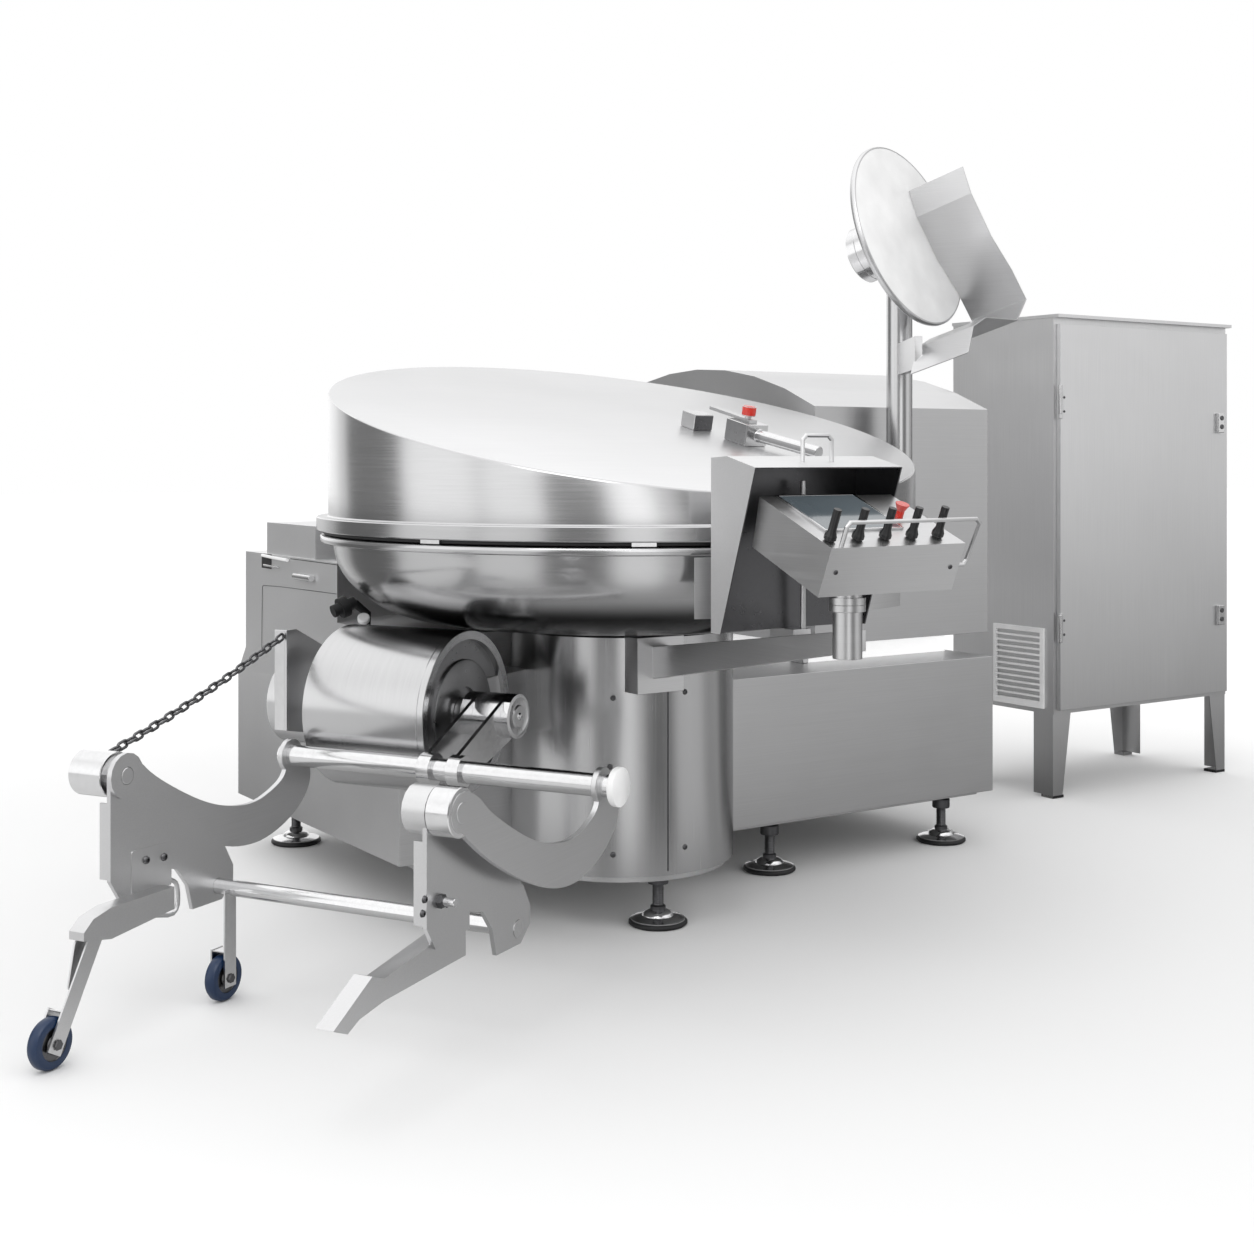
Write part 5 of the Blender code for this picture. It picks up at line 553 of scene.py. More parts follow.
def bowl_and_column():
    """Bowl with its ring trough, the column under it and the bearing ring between."""
    rim, rim_high, rim_low = 0.965, 1.221, 1.198
    centre, level, half, depth, wall = 0.560, 1.200, 0.365, 0.2547, 0.010
    bore, hub, hub_low, hub_high = 0.0515, 0.195, 1.195, 1.215
    outer = arc(centre, level, half, depth, math.radians(-4.0), math.radians(-90.0), 24)
    inner = arc(centre, level, half - wall, depth - wall, math.radians(-180.0), math.radians(0.0), 40)
    low = level - depth
    under = [(0.240, low), (0.240, low + wall), (hub, level - depth / 2), (0.185, hub_low), (bore, hub_low)]
    top = [(bore, hub_high), (hub, hub_high)]
    lip = [(centre + half - wall, rim_high), (rim - 0.004, rim_high), (rim, rim_high - 0.004),
           (rim, rim_low + 0.004), (rim - 0.004, rim_low), (centre + half + 0.004, rim_low)]
    turned("bowl_turned", lip + outer + under + top + inner, bowl_steel, "bowl", ("bowl",),
           steps=FINE_STEPS, angle=SOFT_ANGLE)
    column = [(0.0505, 0.9199), (0.354, 0.9199), (0.360, 0.914), (0.360, 0.1860), (0.352, 0.1860),
              (0.352, 0.904),
              (0.0505, 0.904)]
    turned("column_turned", column, upright_grain, FIXED, ("column",), steps=FINE_STEPS)
    rounded("bowl_bearing_ring", cast, 0.0, CURVE_ANGLE)
    column_seam()


def column_seam():
    """Welded door strip on the column's front, with its screws."""
    radius = 0.360
    low, high, heading = 0.200, 0.900, math.radians(-100.41)
    spot = (radius * math.cos(heading), radius * math.sin(heading), 0.0)
    turn = MACHINE @ Matrix.Translation(spot) @ Matrix.Rotation(heading, 4, "Z")
    block("column_seam", (-0.002, -0.0025, low), (0.0006, 0.0025, high), cast, FIXED, place=turn,
          bevel=0.0004)
    screws = ((-127.7, 0.732), (-129.2, 0.523), (-127.7, 0.256), (-90.9, 0.743), (-90.9, 0.267))
    for index, (angle, height) in enumerate(screws):
        heading = math.radians(angle)
        facing = (math.cos(heading), math.sin(heading), 0.0)
        spot = (radius * facing[0], radius * facing[1], height)
        screw("column_screw_%d" % index, spot, facing, 0.009, FIXED, material=cast)


def lid_height(y):
    """Height of the lid's sloped top over a place of the plan."""
    return LID_MIDDLE + LID_SLOPE * y


def on_lid(x, y):
    """Frame standing on the lid's top over a point of the plan."""
    return MACHINE @ Matrix.Translation((x, y, lid_height(y))) @ LID_FRAME_TURN


def lid_cover():
    """Lid wall that rises to the sloped top, with a small fold along its edge."""
    shape = bmesh.new()
    fold, ease = 0.006, 0.003
    levels = []
    for step in range(FINE_STEPS):
        angle = FULL_TURN * step / FINE_STEPS
        c, s = math.cos(angle), math.sin(angle)
        column = [(LID_RADIUS - 0.005, LID_LOW), (LID_RING - ease, LID_LOW), (LID_RING, LID_LOW + ease),
                  (LID_RING, LID_RING_HIGH - ease), (LID_RING - ease, LID_RING_HIGH),
                  (LID_RADIUS + 0.004, LID_RING_HIGH), (LID_RADIUS, LID_RING_HIGH + 0.004)]
        top = lid_height(s * LID_RADIUS)
        column += [(LID_RADIUS, top - fold), (LID_RADIUS - fold * 0.3, top - fold * 0.3)]
        inner = LID_RADIUS - fold
        levels.append([shape.verts.new((c * r, s * r, z)) for r, z in column]
                      + [shape.verts.new((c * inner, s * inner, lid_height(s * inner)))])
    for first, second in zip(levels, levels[1:] + levels[:1]):
        for low in range(len(first) - 1):
            shape.faces.new([first[low], second[low], second[low + 1], first[low + 1]])
    shape.faces.new([column[-1] for column in levels])
    piece = finish_piece("lid_cover", shape, lid_side, "lid", ("lid",), angle=28.0)
    paint(piece, lid_top, lambda spot, normal: abs(normal.z) > 0.9 and spot.z > 1.32)


def lid_inside():
    """Inner wall and ceiling, which the raised lid shows."""
    wall = 0.012
    shape = bmesh.new()
    lows, highs = [], []
    radius = LID_RADIUS - wall
    for step in range(FINE_STEPS):
        angle = FULL_TURN * step / FINE_STEPS
        x, y = radius * math.cos(angle), radius * math.sin(angle)
        lows.append(shape.verts.new((x, y, LID_LOW + SHEET_EDGE)))
        highs.append(shape.verts.new((x, y, lid_height(y) - wall)))
    for step in range(FINE_STEPS):
        after = (step + 1) % FINE_STEPS
        shape.faces.new([lows[step], lows[after], highs[after], highs[step]])
    shape.faces.new(highs)
    finish_piece("lid_inside", shape, plain, "lid", angle=28.0)


def lid_and_fittings():
    """Lid with its seal and clips, the hinge behind it and the latch on top."""
    lid_cover()
    lid_inside()
    seal = [(0.930, 1.2240), (0.954, 1.2240), (0.957, 1.2260), (0.957, 1.2330), (0.954, 1.2345),
            (0.930, 1.2345)]
    turned("lid_seal_ring", seal, rubber, "lid", ("lid_seal",), steps=FINE_STEPS)
    for index, angle in enumerate((-157.0, -119.8)):
        turn = MACHINE @ Matrix.Rotation(math.radians(angle), 4, "Z")
        block("seal_clip_%d" % index, (0.940, -0.034, 1.2236), (0.9635, 0.034, 1.2350), bright, "lid",
              place=turn, bevel=FINE_EDGE)
    rounded("lid_hinge_shaft", plain)
    hinge_y, hinge_z = 1.12, 1.29
    for side in (-0.22, 0.22):
        block("lid_hinge_arm", (side - 0.020, 0.90, 1.236), (side + 0.020, hinge_y, 1.278), plain, "lid")
        rod("lid_hinge_eye", (side - 0.022, hinge_y, hinge_z), (side + 0.022, hinge_y, hinge_z), 0.040,
            plain, "lid")
    latch()


def latch():
    """Clamp block, latch block with its bar, and the lever with a red knob."""
    clamp = rounded("lid_clamp_block", plain, 0.003)
    # Painted shade: the clamp block's front faces get the dark steel.
    paint(clamp, dark_steel_and_shade, lambda spot, normal: normal.y < -0.5)
    hold = rounded("latch_block", bright, 0.003)
    # Painted shade: the latch block's left faces get the mid steel.
    paint(hold, mid_steel, lambda spot, normal: normal.x < -0.9)
    block("clamp_cap", (-0.037, -0.037, 0.046), (0.037, 0.037, 0.052), bright, "lid",
          place=on_lid(*CLAMP_PLACE), bevel=0.0015)
    rounded("latch_lever", plain, 0.0015, 25.0)
    knob = [(0.0, 0.1200), (0.0180, 0.1200), (0.0226, 0.1170), (0.0226, 0.0930), (0.0200, 0.0882),
            (0.0, 0.0882)]
    turned("lever_knob", knob, red_plastic, "latch_lever", place=on_lid(*LATCH_PLACE), steps=SMALL_STEPS,
           angle=SOFT_ANGLE)


def knives_and_drive():
    """Knives on their shaft, and the belt drive behind them."""
    for node in ("knife_1", "knife_2", "knife_3", "knife_4"):
        rounded(node, bright, FINE_EDGE)
    for node in ("knife_shaft", "knife_bearing", "shaft_pulley", "motor_pulley"):
        rounded(node, cast, SHEET_EDGE, CURVE_ANGLE)
    rounded("drive_belt", rubber, SHEET_EDGE)
    rounded("knife_motor", cast, 0.003, CURVE_ANGLE)


def housings():
    """Housings, casing and the small fittings on them."""
    rounded("base_plate", plain)
    lower = rounded("lower_housing", housing_steel, 0.004)
    # Painted glow: the neck faces of the lower housing get the glowing white strip.
    paint(lower, painted_glow_band, lambda spot, normal: NECK_LOW < spot.z < NECK_HIGH and abs(normal.z) < 0.5)
    upper = rounded("upper_housing", vault_steel, 0.005, 20.0)
    paint(upper, housing_steel, lambda spot, normal: normal.y < -0.8)
    rounded("side_casing", casing_steel, 0.003)
    rounded("casing_latch", bright, FINE_EDGE)
    rounded("pipe_union", rubber, FINE_EDGE, CURVE_ANGLE)
    rounded("unloader_bracket", plain)
    neck_end()
    casing_details()
    union_details()


def neck_end():
    """Pale block at the neck's left end, under the upper housing."""
    block("neck_block", (0.972, 0.262, NECK_LOW), (0.998, 0.340, NECK_HIGH), plain, FIXED)


def casing_details():
    """Door seams, latch pocket, handle and pin on the casing's left side."""
    face, seam = CASING_FACE, 0.003
    block("casing_seam_top", (face - SKIN, 0.720, 1.0960), (face + 0.001, 1.150, 1.0985), rubber, FIXED,
          bevel=0.0)
    corners = ((0.745, 0.998), (1.405, 0.9885), (1.425, 0.975), (1.428, 0.30))
    line = [Vector((face, y, z)) for y, z in corners]
    bar("casing_seam_line", line, seam / 2, dark_steel_and_shade, FIXED, soft=1, sides=6)
    # Painted shade: a black sheet stands in for the shade in the latch pocket.
    block("casing_pocket", (face - 0.0008, 1.330, 1.050), (face + 0.001, 1.425, 1.104), rubber, FIXED,
          bevel=0.0)
    handle = [(face - 0.008, 1.400, 1.098), (face - 0.010, 1.300, 1.095), (face - 0.010, 1.155, 1.092)]
    bar("casing_handle", handle, 0.006, white_plastic, FIXED, soft=0)
    pin = [(face - 0.006, 1.390, 1.062), (face - 0.006, 1.250, 1.060)]
    bar("casing_pin", pin, 0.004, bright, FIXED, soft=0)


def union_details():
    """White cap on the pipe union below the bowl."""
    low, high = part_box("pipe_union")
    middle = (low + high) / 2
    turn, _ = towards(middle, middle + Vector((-0.30, -0.62, 0.72)))
    cap = [(0.0, 0.0), (0.019, 0.0), (0.019, 0.012), (0.016, 0.015), (0.0, 0.015)]
    place = turn @ Matrix.Translation((0.0, 0.0, 0.020))
    turned("union_cap", cap, white_plastic, FIXED, (), place, SMALL_STEPS)


def levelling_feet():
    """Rubber pad, polished dome and threaded stem of each foot."""
    stem_radius, thread, thread_pitch = 0.018, 0.0012, 0.006
    for node in ("foot_front", "foot_middle", "foot_right", "foot_left", "foot_rear"):
        low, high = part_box(node)
        place = Matrix.Translation(((low.x + high.x) / 2, (low.y + high.y) / 2, 0.0))
        pad = [(0.0, 0.0), (0.086, 0.0), (0.0925, 0.005), (0.0925, 0.012), (0.088, 0.016), (0.0, 0.016)]
        turned(node + "_pad", pad, rubber, FIXED, (node,), place, angle=SOFT_ANGLE)
        dome = [(0.0, 0.0165), (0.086, 0.0165), (0.086, 0.0200), (0.070, 0.0260), (0.050, 0.0290),
                (0.046, 0.0390), (0.030, 0.0460), (0.0, 0.0460)]
        turned(node + "_dome", dome, bright, FIXED, (), place, angle=SOFT_ANGLE)
        stem = [(0.0, 0.045), (0.024, 0.045), (0.024, 0.058), (stem_radius, 0.062)]
        stem += [(stem_radius - thread * (step % 2), 0.064 + thread_pitch / 2 * step) for step in range(20)]
        stem += [(stem_radius, 0.126), (0.031, 0.128), (0.033, 0.132), (0.033, 0.160), (0.030, 0.1645),
                 (0.0, 0.1645)]
        turned(node + "_stem", stem, cast, FIXED, (), place, SMALL_STEPS, angle=25.0)


def console():
    """Arm, body, screen, sticks and button of the console, with the hood and guard beside it."""
    rounded("console_arm", plain, 0.003)
    rounded("console_body", plain, 0.003)
    rounded("touch_screen", glass, SHEET_EDGE)
    screen_frame()
    for index in range(5):
        rounded("joystick_%d" % (index + 1), black_plastic, SHEET_EDGE, 25.0)
    rounded("stop_button", red_plastic, 0.002, 25.0)
    rounded("bowl_guard", plain, SHEET_EDGE)
    hood = rounded("splash_hood", casing_steel, 0.0012)
    low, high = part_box("splash_hood")
    # Painted shade: the hood's inner back, right-end and under faces get the dark steel.
    paint(hood, dark_steel_and_shade, lambda spot, normal: normal.y < -0.6 and spot.y > low.y + 0.06
          or normal.x < -0.8 and high.x - 0.008 < spot.x < high.x - 0.003
          or normal.z < -0.5 and spot.z > high.z - 0.12)


def on_console(x, inset):
    """Frame on the console's sloped top, its Y up the slope from the front edge."""
    y = CONSOLE_FRONT[0] + inset * math.cos(CONSOLE_TOP)
    z = CONSOLE_FRONT[1] + inset * math.sin(CONSOLE_TOP)
    return MACHINE @ Matrix.Translation((x, y, z)) @ Matrix.Rotation(CONSOLE_TOP, 4, "X")


def screen_frame():
    """Polished frame round the touch screen, and the screws on the console's front."""
    middle, half, length, width = -0.160, 0.125, 0.200, 0.006
    high = math.hypot(CONSOLE_RISE, CONSOLE_RUN) - 0.012
    low = high - length
    left, right = middle - half, middle + half
    place = on_console(0.0, 0.0)
    strips = (("left", (left - width, low - width), (left - SKIN, high + width)),
              ("right", (right + SKIN, low - width), (right + width, high + width)),
              ("front", (left, low - width), (right, low - SKIN)),
              ("back", (left, high + SKIN), (right, high + width)))
    for name, start, end in strips:
        block("screen_frame_" + name, (*start, 0.0001), (*end, 0.0062), bright, "console", place=place,
              bevel=0.0005)
    top, foot = Vector((0.0, *CONSOLE_FRONT)), Vector((0.0, *CONSOLE_FOOT))
    normal = Vector((0.0, -0.123, -0.0515)).normalized()
    for name, x in (("left", -0.305), ("right", 0.080)):
        spot = top.lerp(foot, 0.5) + Vector((x, 0.0, 0.0))
        screw("console_screw_" + name, spot, normal, 0.007, "console", material=cast)


def disc_frame():
    """Frame at the disc's centre, its Z out of the disc's face."""
    side = Vector((0.0, 0.0, 1.0)).cross(DISC_NORMAL).normalized()
    up = DISC_NORMAL.cross(side)
    return MACHINE @ Matrix.Translation(DISC_AT) @ Matrix((side, up, DISC_NORMAL)).transposed().to_4x4()


def unloader():
    """Mast, drive, disc and chute of the unloader."""
    place = disc_frame()
    rod("mast_tube", (*MAST, 1.355), (*MAST, 2.130), 0.048, upright_grain, "unloader_mast",
        ("unloader_mast",), steps=ROUND_STEPS)
    drive = [(0.0, -0.205), (0.097, -0.205), (0.105, -0.197), (0.105, -0.165), (0.1035, -0.163),
             (0.1035, -0.088), (0.105, -0.086), (0.105, -0.048), (0.102, -0.045), (0.021, -0.045),
             (0.0, -0.045)]
    turned("disc_drive", drive, bright, "unloader_mast", (), place)
    back = DISC_AT - DISC_NORMAL * 0.125
    rod("drive_neck", (*MAST, 2.082), back, 0.047, plain, "unloader_mast")
    rim = [(0.335, 0.0112), (0.340, 0.0106), (0.3430, 0.005), (0.3430, -0.005), (0.340, -0.0106),
           (0.334, -0.011), (0.020, -0.011), (0.020, -0.065), (0.0, -0.065), (0.0, 0.0095), (0.335, 0.0095)]
    turned("disc_rim", rim, plain, "unloader_disc", ("unloader_disc",), place, FINE_STEPS, CURVE_ANGLE)
    face = [(0.0, 0.0114), (0.332, 0.0114), (0.3345, 0.0108), (0.3345, 0.0096), (0.0, 0.0096)]
    turned("disc_face", face, white_plastic, "unloader_disc", (), place, FINE_STEPS, CURVE_ANGLE)
    rounded("unloader_chute", plain, SHEET_EDGE)
    mast_bracket()


def mast_bracket():
    """Round-ended side plate and clevis that hold the mast's foot."""
    outline = [(1.352, 1.358), (1.352, 1.474)]
    outline += arc(1.366, 1.416, 0.032, 0.058, math.radians(90.0), math.radians(-90.0), 14)
    slab("mast_side_plate", outline, 0.008, plain, FIXED, place=MACHINE @ upright(0.166), bevel=SHEET_EDGE)
    block("mast_clevis", (1.262, 0.150, 1.330), (1.340, 0.172, 1.400), dark_steel_and_shade, FIXED, bevel=0.003)


def cabinet():
    """Switch cabinet with its door, hinges, locks, grille and pads."""
    rounded("cabinet_body", cabinet_steel, 0.003)
    rounded("cabinet_door", cabinet_steel, 0.003)
    rounded("cabinet_grille", white_plastic, SHEET_EDGE)
    for node in ("cabinet_lock_1", "cabinet_lock_2"):
        rounded(node, bright, 0.003)
    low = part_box("cabinet_door")[0]
    foot, body_height, spread = 0.360, 1.700, 0.030
    for share in (0.22, 0.78):
        middle = foot + share * body_height
        for part, height in (("low", middle - spread), ("high", middle + spread)):
            screw("hinge_screw_" + part, (low.x + 0.022, low.y + SKIN, height), (0.0, -1.0, 0.0), 0.006,
                  "cabinet_door", Matrix.Identity(4), cast)
    hinge = (2.509, 0.4125)
    for name, start, end in (("low", 0.669, 0.788), ("high", 1.645, 1.768)):
        rod("cabinet_hinge_" + name, (*hinge, start), (*hinge, end), 0.0085, bright, "cabinet_door")
    locks()
    leg_pads()


def locks():
    """Round barrel and bolt head on each lock's face."""
    for node in ("cabinet_lock_1", "cabinet_lock_2"):
        low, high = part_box(node)
        middle = (low + high) / 2
        for name, drop in (("barrel", 0.018), ("bolt", -0.022)):
            start = (middle.x, low.y + 0.002, middle.z - drop)
            end = (middle.x, low.y - 0.0035, middle.z - drop)
            rod(node + "_" + name, start, end, 0.011, cast, node, (), Matrix.Identity(4), edge=FINE_EDGE)


def leg_pads():
    """Black pads under the two front legs."""
    low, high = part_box("cabinet_body")
    size, inset = 0.066, 0.004
    front = (MACHINE @ Vector((0.0, 0.442, 0.0))).y
    for index, x in enumerate((low.x + inset, high.x - inset - size)):
        block("leg_pad_%d" % index, (x, front - SHEET_EDGE, 0.0), (x + size, front + size, 0.0115), rubber,
              FIXED, place=Matrix.Identity(4), bevel=SHEET_EDGE)


def drum():
    """Turned drum with a lipped, darker end, its nose, shaft and saddle."""
    out, level = DRUM
    place = LOADER @ along_y(out, 0.0, level)
    low, high, radius, face = DRUM_LOW, DRUM_HIGH, DRUM_RADIUS, DRUM_HIGH - 0.020
    ease = 0.0015
    shell = [(0.0, face), (0.212, face), (0.214, high - ease), (radius - ease, high), (radius, high - ease),
             (radius, face), (radius - ease, face - 0.002), (radius, face - 0.004), (radius, low + 0.003),
             (radius - 0.003, low), (0.130, low), (0.130, -0.225), (0.128, -0.227), (0.0, -0.227)]
    piece = turned("drum_shell", shell, drum_steel, FIXED, ("loader_drum",), place, FINE_STEPS, SHEET_ANGLE)
    end = LOADER @ Vector((0.0, face - 0.0005, 0.0))
    axis = (LOADER.to_3x3() @ Vector((0.0, 1.0, 0.0))).normalized()
    paint(piece, mid_steel, lambda spot, normal: normal.dot(axis) > 0.8 and (spot - end).dot(axis) < 0.002)
    ring = [(0.075, face - 0.001), (0.155, face - 0.001), (0.155, high - 0.013), (0.150, high - 0.011),
            (0.075, high - 0.011)]
    turned("drum_end_ring", ring, mid_steel, FIXED, (), place)
    rod("drum_shaft", (out, face, level), (out, 0.420, level), 0.0445, plain, FIXED, place=LOADER)
    chain_anchor()
    block("drum_saddle", (-1.035, 0.205, 0.602), (-0.700, 0.395, 0.800), plain, FIXED, place=LOADER)


def chain_anchor():
    """Plate beside the nose with a folded front edge, which holds the chain."""
    out, level = DRUM
    side, sheet, front, low, high, fold, reach = -0.080, 0.008, -0.405, 0.660, 0.955, 0.045, 0.130
    outline = [(front, low), (front, high), (front - fold, high), (out + fold, level + reach + fold),
               (out - fold, level + reach + SHEET_EDGE), (out - fold, level), (out, low - fold)]
    slab("chain_anchor_plate", outline, sheet, plain, FIXED, place=LOADER @ upright(side + sheet),
         bevel=SHEET_EDGE)
    block("chain_anchor_fold", (front - sheet, side - fold + sheet, low), (front, side + SHEET_EDGE, high),
          bright, FIXED, place=LOADER, bevel=SHEET_EDGE)


def curved_arm(name, side):
    """J-shaped plate with smooth edges, from the tube's end to the hanger's pin."""
    top = [(0.340, 0.716), (0.269, 0.686), (0.225, 0.645), (0.133, 0.590), (0.019, 0.533), (-0.082, 0.502),
           (-0.186, 0.491), (-0.273, 0.516), (-0.329, 0.547), (-0.337, 0.600)]
    bottom = [(-0.423, 0.600), (-0.452, 0.540), (-0.433, 0.480), (-0.363, 0.425), (-0.273, 0.390),
              (-0.186, 0.377), (-0.082, 0.389), (0.038, 0.433), (0.133, 0.478), (0.242, 0.540),
              (0.321, 0.598), (0.396, 0.660)]
    outline = [(spot.x, spot.y) for spot in eased([(*point, 0.0) for point in top + bottom], 2, True)]
    sheet, proud = 0.015, 0.0005
    slab(name, outline, sheet, loader_steel, "lift_arm", place=LOADER @ upright(side + sheet), bevel=0.0012)
    out, level = TUBE
    rod(name + "_eye", (out, side - proud, level), (out, side + sheet + proud, level), 0.048, loader_steel,
        "lift_arm", place=LOADER, steps=ROUND_STEPS)


def boss(name, start, end, body):
    """Boss on a hanger's pin, with a turned ring and a pin head on its end."""
    out, level = PIN
    rod(name, (out, start, level), (out, end, level), 0.058, bright, body, place=LOADER, steps=ROUND_STEPS,
        edge=0.002)
    way = -1.0 if end < start else 1.0
    for part, radius, high in (("ring", 0.046, 0.0012), ("head", 0.024, 0.0030)):
        rod(name + "_" + part, (out, end, level), (out, end + way * high, level), radius, plain, body,
            place=LOADER, edge=FINE_EDGE)


def lift_arm():
    """Tube with its two curved arms, their bosses and pins, and the white cap on its end."""
    out, level = TUBE
    rod("loader_tube", (out, -0.050, level), (out, 1.032, level), 0.0305, bright, "lift_arm", ("lift_arm",),
        LOADER, ROUND_STEPS)
    curved_arm("arm_left", -0.032)
    curved_arm("arm_right", 0.985)
    boss("left_boss", -0.030, -0.137, "lift_arm")
    boss("right_boss", 0.9355, 0.9985, "lift_arm")
    for name, start, end in (("left_pin", -0.032, 0.009), ("right_pin", 0.871, 0.985)):
        rod(name, (PIN[0], start, PIN[1]), (PIN[0], end, PIN[1]), 0.0215, plain, "lift_arm", place=LOADER)
    cap = [(0.0, 0.022), (0.046, 0.022), (0.052, 0.018), (0.052, 0.0045), (0.050, 0.0003), (0.0, 0.0003)]
    turned("cap_disc", cap, white_plastic, "lift_arm", ("tube_cap",), LOADER @ along_y(out, 1.032, level),
           angle=CURVE_ANGLE)


def lift_levers():
    """Levers on the drum's shaft, with the ring and screw on the hub's end."""
    out, level = DRUM
    rounded("lift_levers", bright, 0.0015)
    ring = [(0.0, 0.004), (0.030, 0.004), (0.034, 0.0), (0.052, 0.0), (0.055, 0.0025), (0.064, 0.0),
            (0.0, -0.001)]
    place = LOADER @ along_y(out, 0.580, level)
    turned("hub_end_ring", ring, plain, "lift_arm", (), place, angle=CURVE_ANGLE)
    screw("hub_screw", (out, 0.5835, level), (0.0, 1.0, 0.0), 0.012, "lift_arm", LOADER)


def hangers():
    """Hanger plates with their cover plate and bolts, the cross bar and the forks' fittings."""
    rounded("hanger_left", loader_steel, 0.0012)
    rounded("hanger_right", loader_steel, 0.0012)
    rounded("cross_bar", bright, SHEET_EDGE, CURVE_ANGLE)
    cover_side, right_side = -0.0025, 0.9312
    cover = softened([(0.3145, 0.462), (0.166, 0.462), (0.166, 0.345), (0.3145, 0.345)], 0.008)
    slab("cover_plate", cover, 0.006, plain, "bin_cradle", place=LOADER @ upright(cover_side),
         bevel=SHEET_EDGE)
    for index, (out, height) in enumerate(((0.262, 0.430), (0.196, 0.424))):
        screw("cover_bolt_%d" % index, (out, cover_side, height), (0.0, 1.0, 0.0), 0.011, "bin_cradle",
              LOADER, cast, 0.7)
    for index, (out, height) in enumerate(((0.392, 0.468), (0.400, 0.438), (0.302, 0.436))):
        screw("hanger_bolt_%d" % index, (out, right_side, height), (0.0, 1.0, 0.0), 0.009, "bin_cradle",
              LOADER, cast, 0.8)
    fork_details(right_side)


def fork_details(right_side):
    """D-handle on the left fork, catch bolt on the right hanger, and the strut plate with its pins."""
    handle = [(0.224, -0.010, 0.373), (0.160, -0.010, 0.358), (0.132, -0.010, 0.336),
              (0.136, -0.010, 0.257), (0.221, -0.010, 0.277)]
    bar("fork_handle", handle, 0.006, plain, "bin_cradle", place=LOADER)
    out, level = CATCH
    start = (out, right_side, level)
    rod("catch_bolt", start, (out, 0.9790, level), 0.010, bright, "bin_cradle", place=LOADER)
    rod("catch_nut", start, (out, 0.9480, level), 0.017, cast, "bin_cradle", place=LOADER, steps=HEXAGON)
    strut = softened([(0.415, 0.290), (0.515, 0.290), (0.540, 0.172), (0.490, 0.160)], 0.014)
    slab("strut_plate", strut, 0.005, plain, "bin_cradle", place=LOADER @ upright(0.0045), bevel=SHEET_EDGE)
    for index, (out, level) in enumerate(((0.468, 0.250), (0.486, 0.218))):
        rod("strut_pin_%d" % index, (out, -0.034, level), (out, 0.008, level), 0.008, bright, "bin_cradle",
            place=LOADER)


def mirrored(half):
    """Profile with the same on both sides of its middle."""
    return half + [(radius, -height) for radius, height in reversed(half)]


def wheels():
    """Blue tyre, hub and axle nuts of each wheel."""
    radius, gap, nut = WHEEL_RADIUS, 0.0255, 0.006
    tyre = mirrored([(0.040, 0.0160), (0.050, 0.0170), (0.058, 0.0150), (radius, 0.0080)])
    hub = mirrored([(0.009, 0.0150), (0.016, 0.0165), (0.020, 0.0120), (0.038, 0.0120), (0.041, 0.0150)])
    for node, out, side in (("front_wheel", 0.594, 0.0), ("rear_wheel", 0.0, 0.030)):
        place = LOADER @ along_y(out, side, radius)
        turned(node + "_tyre", tyre, blue_tyre, node, (node,), place, angle=CURVE_ANGLE)
        turned(node + "_hub", hub, dark_steel_and_shade, node, (), place, angle=SHEET_ANGLE)
        for name, end in (("near", 1.0), ("far", -1.0)):
            start = side + end * gap
            rod(node + "_axle_" + name, (out, start, radius), (out, start + end * nut, radius), 0.013, cast,
                "bin_cradle", place=LOADER, steps=HEXAGON)


def guard_chain():
    """Links from the anchor plate to the left hanger, each turned a quarter against the next."""
    span = CHAIN_END - CHAIN_START
    count = round(span.length / CHAIN_PITCH)
    straight = CHAIN_PITCH / 2 + CHAIN_WIRE / 2 - CHAIN_HALF
    for index in range(count):
        share = (index + 0.5) / count
        centre = CHAIN_START + span * share - Vector((0.0, 0.0, 4 * CHAIN_SAG * share * (1 - share)))
        along = Vector((span.x, span.y, span.z - 4 * CHAIN_SAG * (1 - 2 * share))).normalized()
        upward = along.cross(Vector((0.0, 1.0, 0.0))).normalized()
        across = upward if index % 2 else upward.cross(along)
        side = along.cross(across).normalized()
        loop = []
        for step in range(LINK_POINTS):
            angle = FULL_TURN * (step + 0.5) / LINK_POINTS
            reach = CHAIN_HALF * math.cos(angle)
            reach += straight if reach > 0 else -straight
            loop.append(centre + along * reach + side * CHAIN_HALF * math.sin(angle))
        nodes = ("guard_chain",) if index == 0 else ()
        bar("chain_link_%d" % index, loop, CHAIN_WIRE, chain_steel, FIXED, nodes, LOADER, closed=True,
            soft=0, sides=LINK_SIDES)


def loader():
    """Bin loader: drum, levers, arms, hangers, wheels and chain."""
    drum()
    lift_levers()
    lift_arm()
    hangers()
    wheels()
    guard_chain()


def studio_light(x, y):
    """Level of the studio's surround in a heading, 1 with no flag or box there."""
    flat = x.maths("SQRT", x * x + y * y + 0.0001)
    level = None
    for heading, half, edge, strength in FLAGS + SOFT_BOXES:
        turn = math.radians(heading)
        facing = (x * math.sin(turn) + y * math.cos(turn)) / flat
        lit = facing.ramp(math.cos(math.radians(half + edge)), math.cos(math.radians(half)), 0.0, strength)
        level = lit if level is None else level + lit
    return level + 1.0


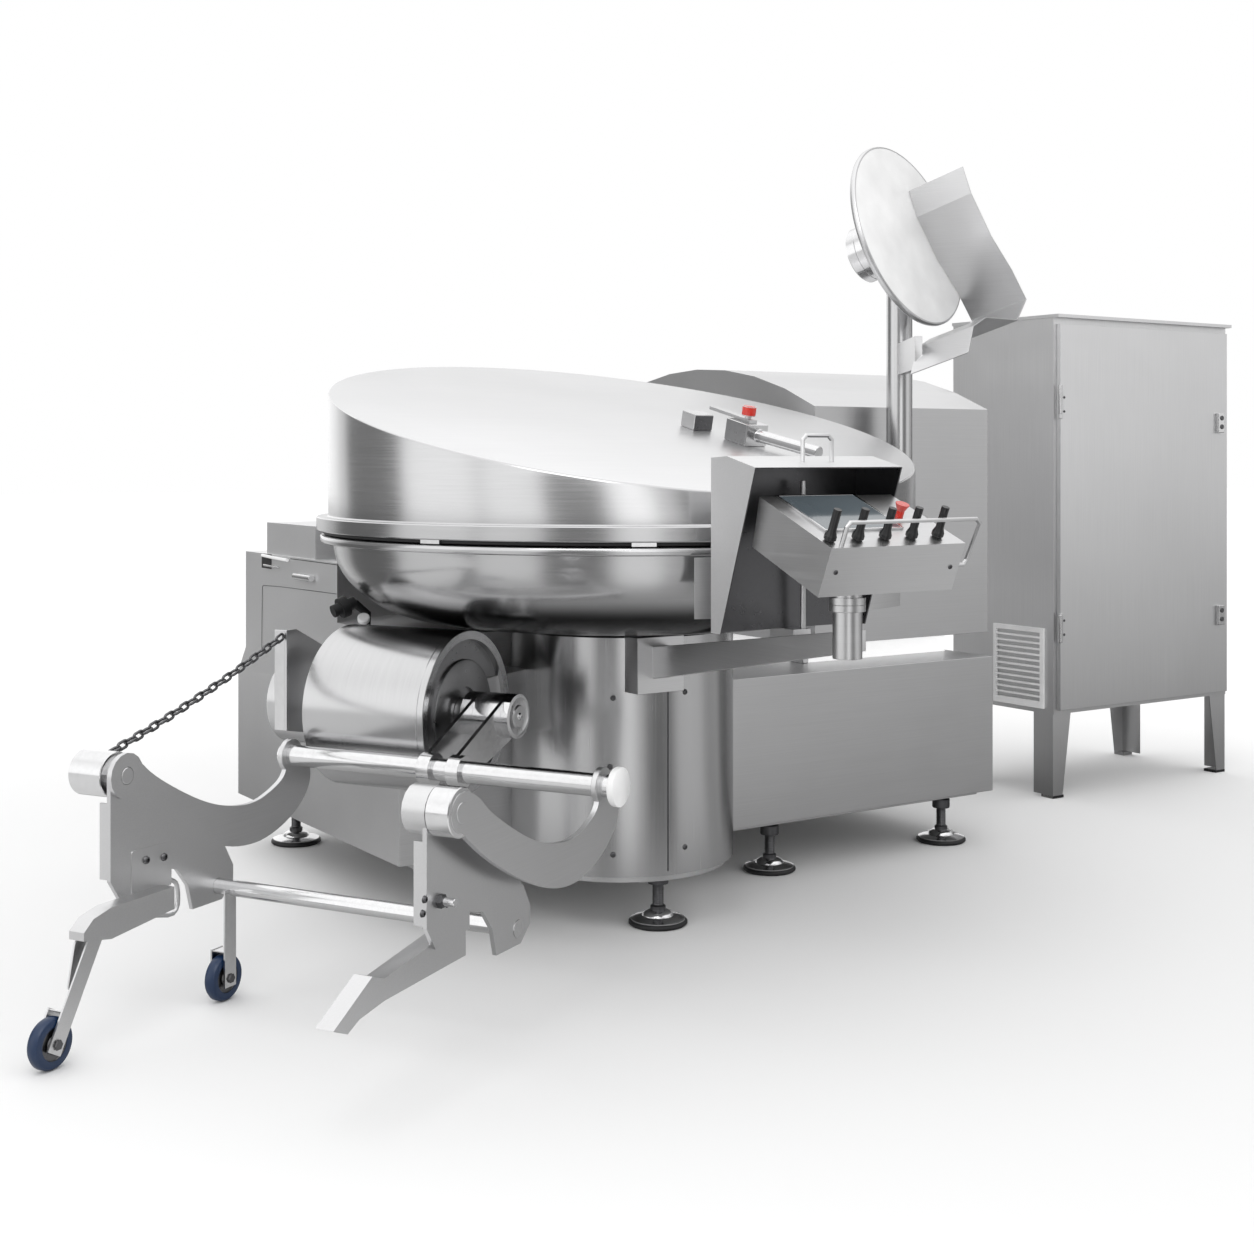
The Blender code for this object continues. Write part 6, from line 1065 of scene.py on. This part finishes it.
def studio():
    """White floor: it takes the shadow; for glossy rays its colour carries painted shade under the machine
    and the flags and boxes painted round it, which the steel reflects.
    """
    floor_mesh = bpy.data.meshes.new("studio_floor")
    corners = ((-1, -1), (1, -1), (1, 1), (-1, 1))
    shape = bmesh.new()
    shape.faces.new([shape.verts.new((x * FLOOR_REACH, y * FLOOR_REACH, -FLOOR_DROP)) for x, y in corners])
    shape.to_mesh(floor_mesh)
    shape.free()
    floor = bpy.data.objects.new("studio_floor", floor_mesh)
    bpy.context.scene.collection.objects.link(floor)
    material, tree, shader, place = start_material("studio_white")
    dark, light = GREY_DRIFT
    white = noise(place, 0.3, 2.0).mixed((dark, dark, dark, 1.0), (light, light, light, 1.0))
    from_bowl = place.node("ShaderNodeVectorMath", 0, {"operation": "SUBTRACT"}, i0=place, i1=BOWL_AXIS)
    x, y = from_bowl.part(0), from_bowl.part(1)
    away = x.maths("SQRT", x * x + y * y)
    # Painted shade under the machine and painted flags and boxes further out, for glossy rays only.
    near = away.ramp(0.9, 2.2)
    level = (1.0 - near) * PAINTED_SHADE_BELOW + near * (studio_light(x, y) * SHOWN_FLOOR)
    path = tree.nodes.new("ShaderNodeLightPath")
    glossy_ray = Wire(tree, path.outputs["Is Glossy Ray"])
    camera_ray = Wire(tree, path.outputs["Is Camera Ray"])
    far = camera_ray * away.ramp(2.4, 6.0, 0.0, FAR_GLOW)
    seen = glossy_ray.mixed(white, level.mixed(NOTHING, (light, light, light, 1.0)))
    feed(tree, shader, Base_Color=seen, Roughness=0.6, Emission_Strength=1.0, Specular_IOR_Level=0.0,
         Emission_Color=far.mixed(NOTHING, FULL_WHITE))
    floor_mesh.materials.append(material)


def sky():
    """White for the camera, the flags and boxes for the steel, a plain level for the rest."""
    world = bpy.data.worlds.new("studio")
    bpy.context.scene.world = world
    world.use_nodes = True
    tree = world.node_tree
    tree.nodes.clear()
    look = Wire(tree, tree.nodes.new("ShaderNodeTexCoord").outputs["Generated"])
    x, y, z = look.part(0), look.part(1), look.part(2)
    overhead = z.ramp(0.30, 0.75)
    glow = (1.0 - overhead) * studio_light(x, y) + overhead * z.ramp(0.3, 0.9, 1.15, 1.45)
    path = tree.nodes.new("ShaderNodeLightPath")
    camera_ray = Wire(tree, path.outputs["Is Camera Ray"])
    glossy_ray = Wire(tree, path.outputs["Is Glossy Ray"])
    through_ray = Wire(tree, path.outputs["Is Transmission Ray"])
    shown = glossy_ray.maths("MAXIMUM", glossy_ray, through_ray)
    level = shown * glow + (1.0 - shown) * AMBIENT
    level = camera_ray + (1.0 - camera_ray) * level
    out = tree.nodes.new("ShaderNodeOutputWorld")
    shine = look.node("ShaderNodeBackground", 0, None, Color=FULL_WHITE, Strength=level)
    tree.links.new(shine.socket, out.inputs["Surface"])


def lamp(name, spot, target, size, power):
    """Soft box at one place that faces another."""
    light = bpy.data.lights.new(name, "AREA")
    light.shape = "RECTANGLE"
    light.size, light.size_y = size
    light.energy = power
    holder = bpy.data.objects.new(name, light)
    spot = MACHINE @ Vector(spot)
    target = MACHINE @ Vector(target)
    holder.location = spot
    holder.rotation_mode = "QUATERNION"
    holder.rotation_quaternion = (target - spot).to_track_quat("-Z", "Y")
    bpy.context.scene.collection.objects.link(holder)


def camera_and_render():
    """Camera where the photograph was taken."""
    data = bpy.data.cameras.new("photo_camera")
    data.sensor_width = SENSOR
    data.lens = SENSOR * FOCAL_PIXELS / PHOTO_PIXELS
    data.shift_y = -HORIZON_ABOVE / PHOTO_PIXELS
    data.clip_end = 200.0
    camera = bpy.data.objects.new("photo_camera", data)
    camera.location = MACHINE @ CAMERA_FROM_BOWL
    camera.rotation_mode = "QUATERNION"
    camera.rotation_quaternion = CAMERA_LOOK.to_track_quat("-Z", "Y")
    scene = bpy.context.scene
    scene.collection.objects.link(camera)
    scene.camera = camera
    scene.view_settings.view_transform = "Standard"


bowl_and_column()
lid_and_fittings()
knives_and_drive()
housings()
levelling_feet()
console()
unloader()
cabinet()
loader()
studio()
sky()
lamp("key", (-3.5, -3.0, 5.0), (0.0, 0.0, 0.8), (3.0, 3.0), KEY_POWER)
camera_and_render()
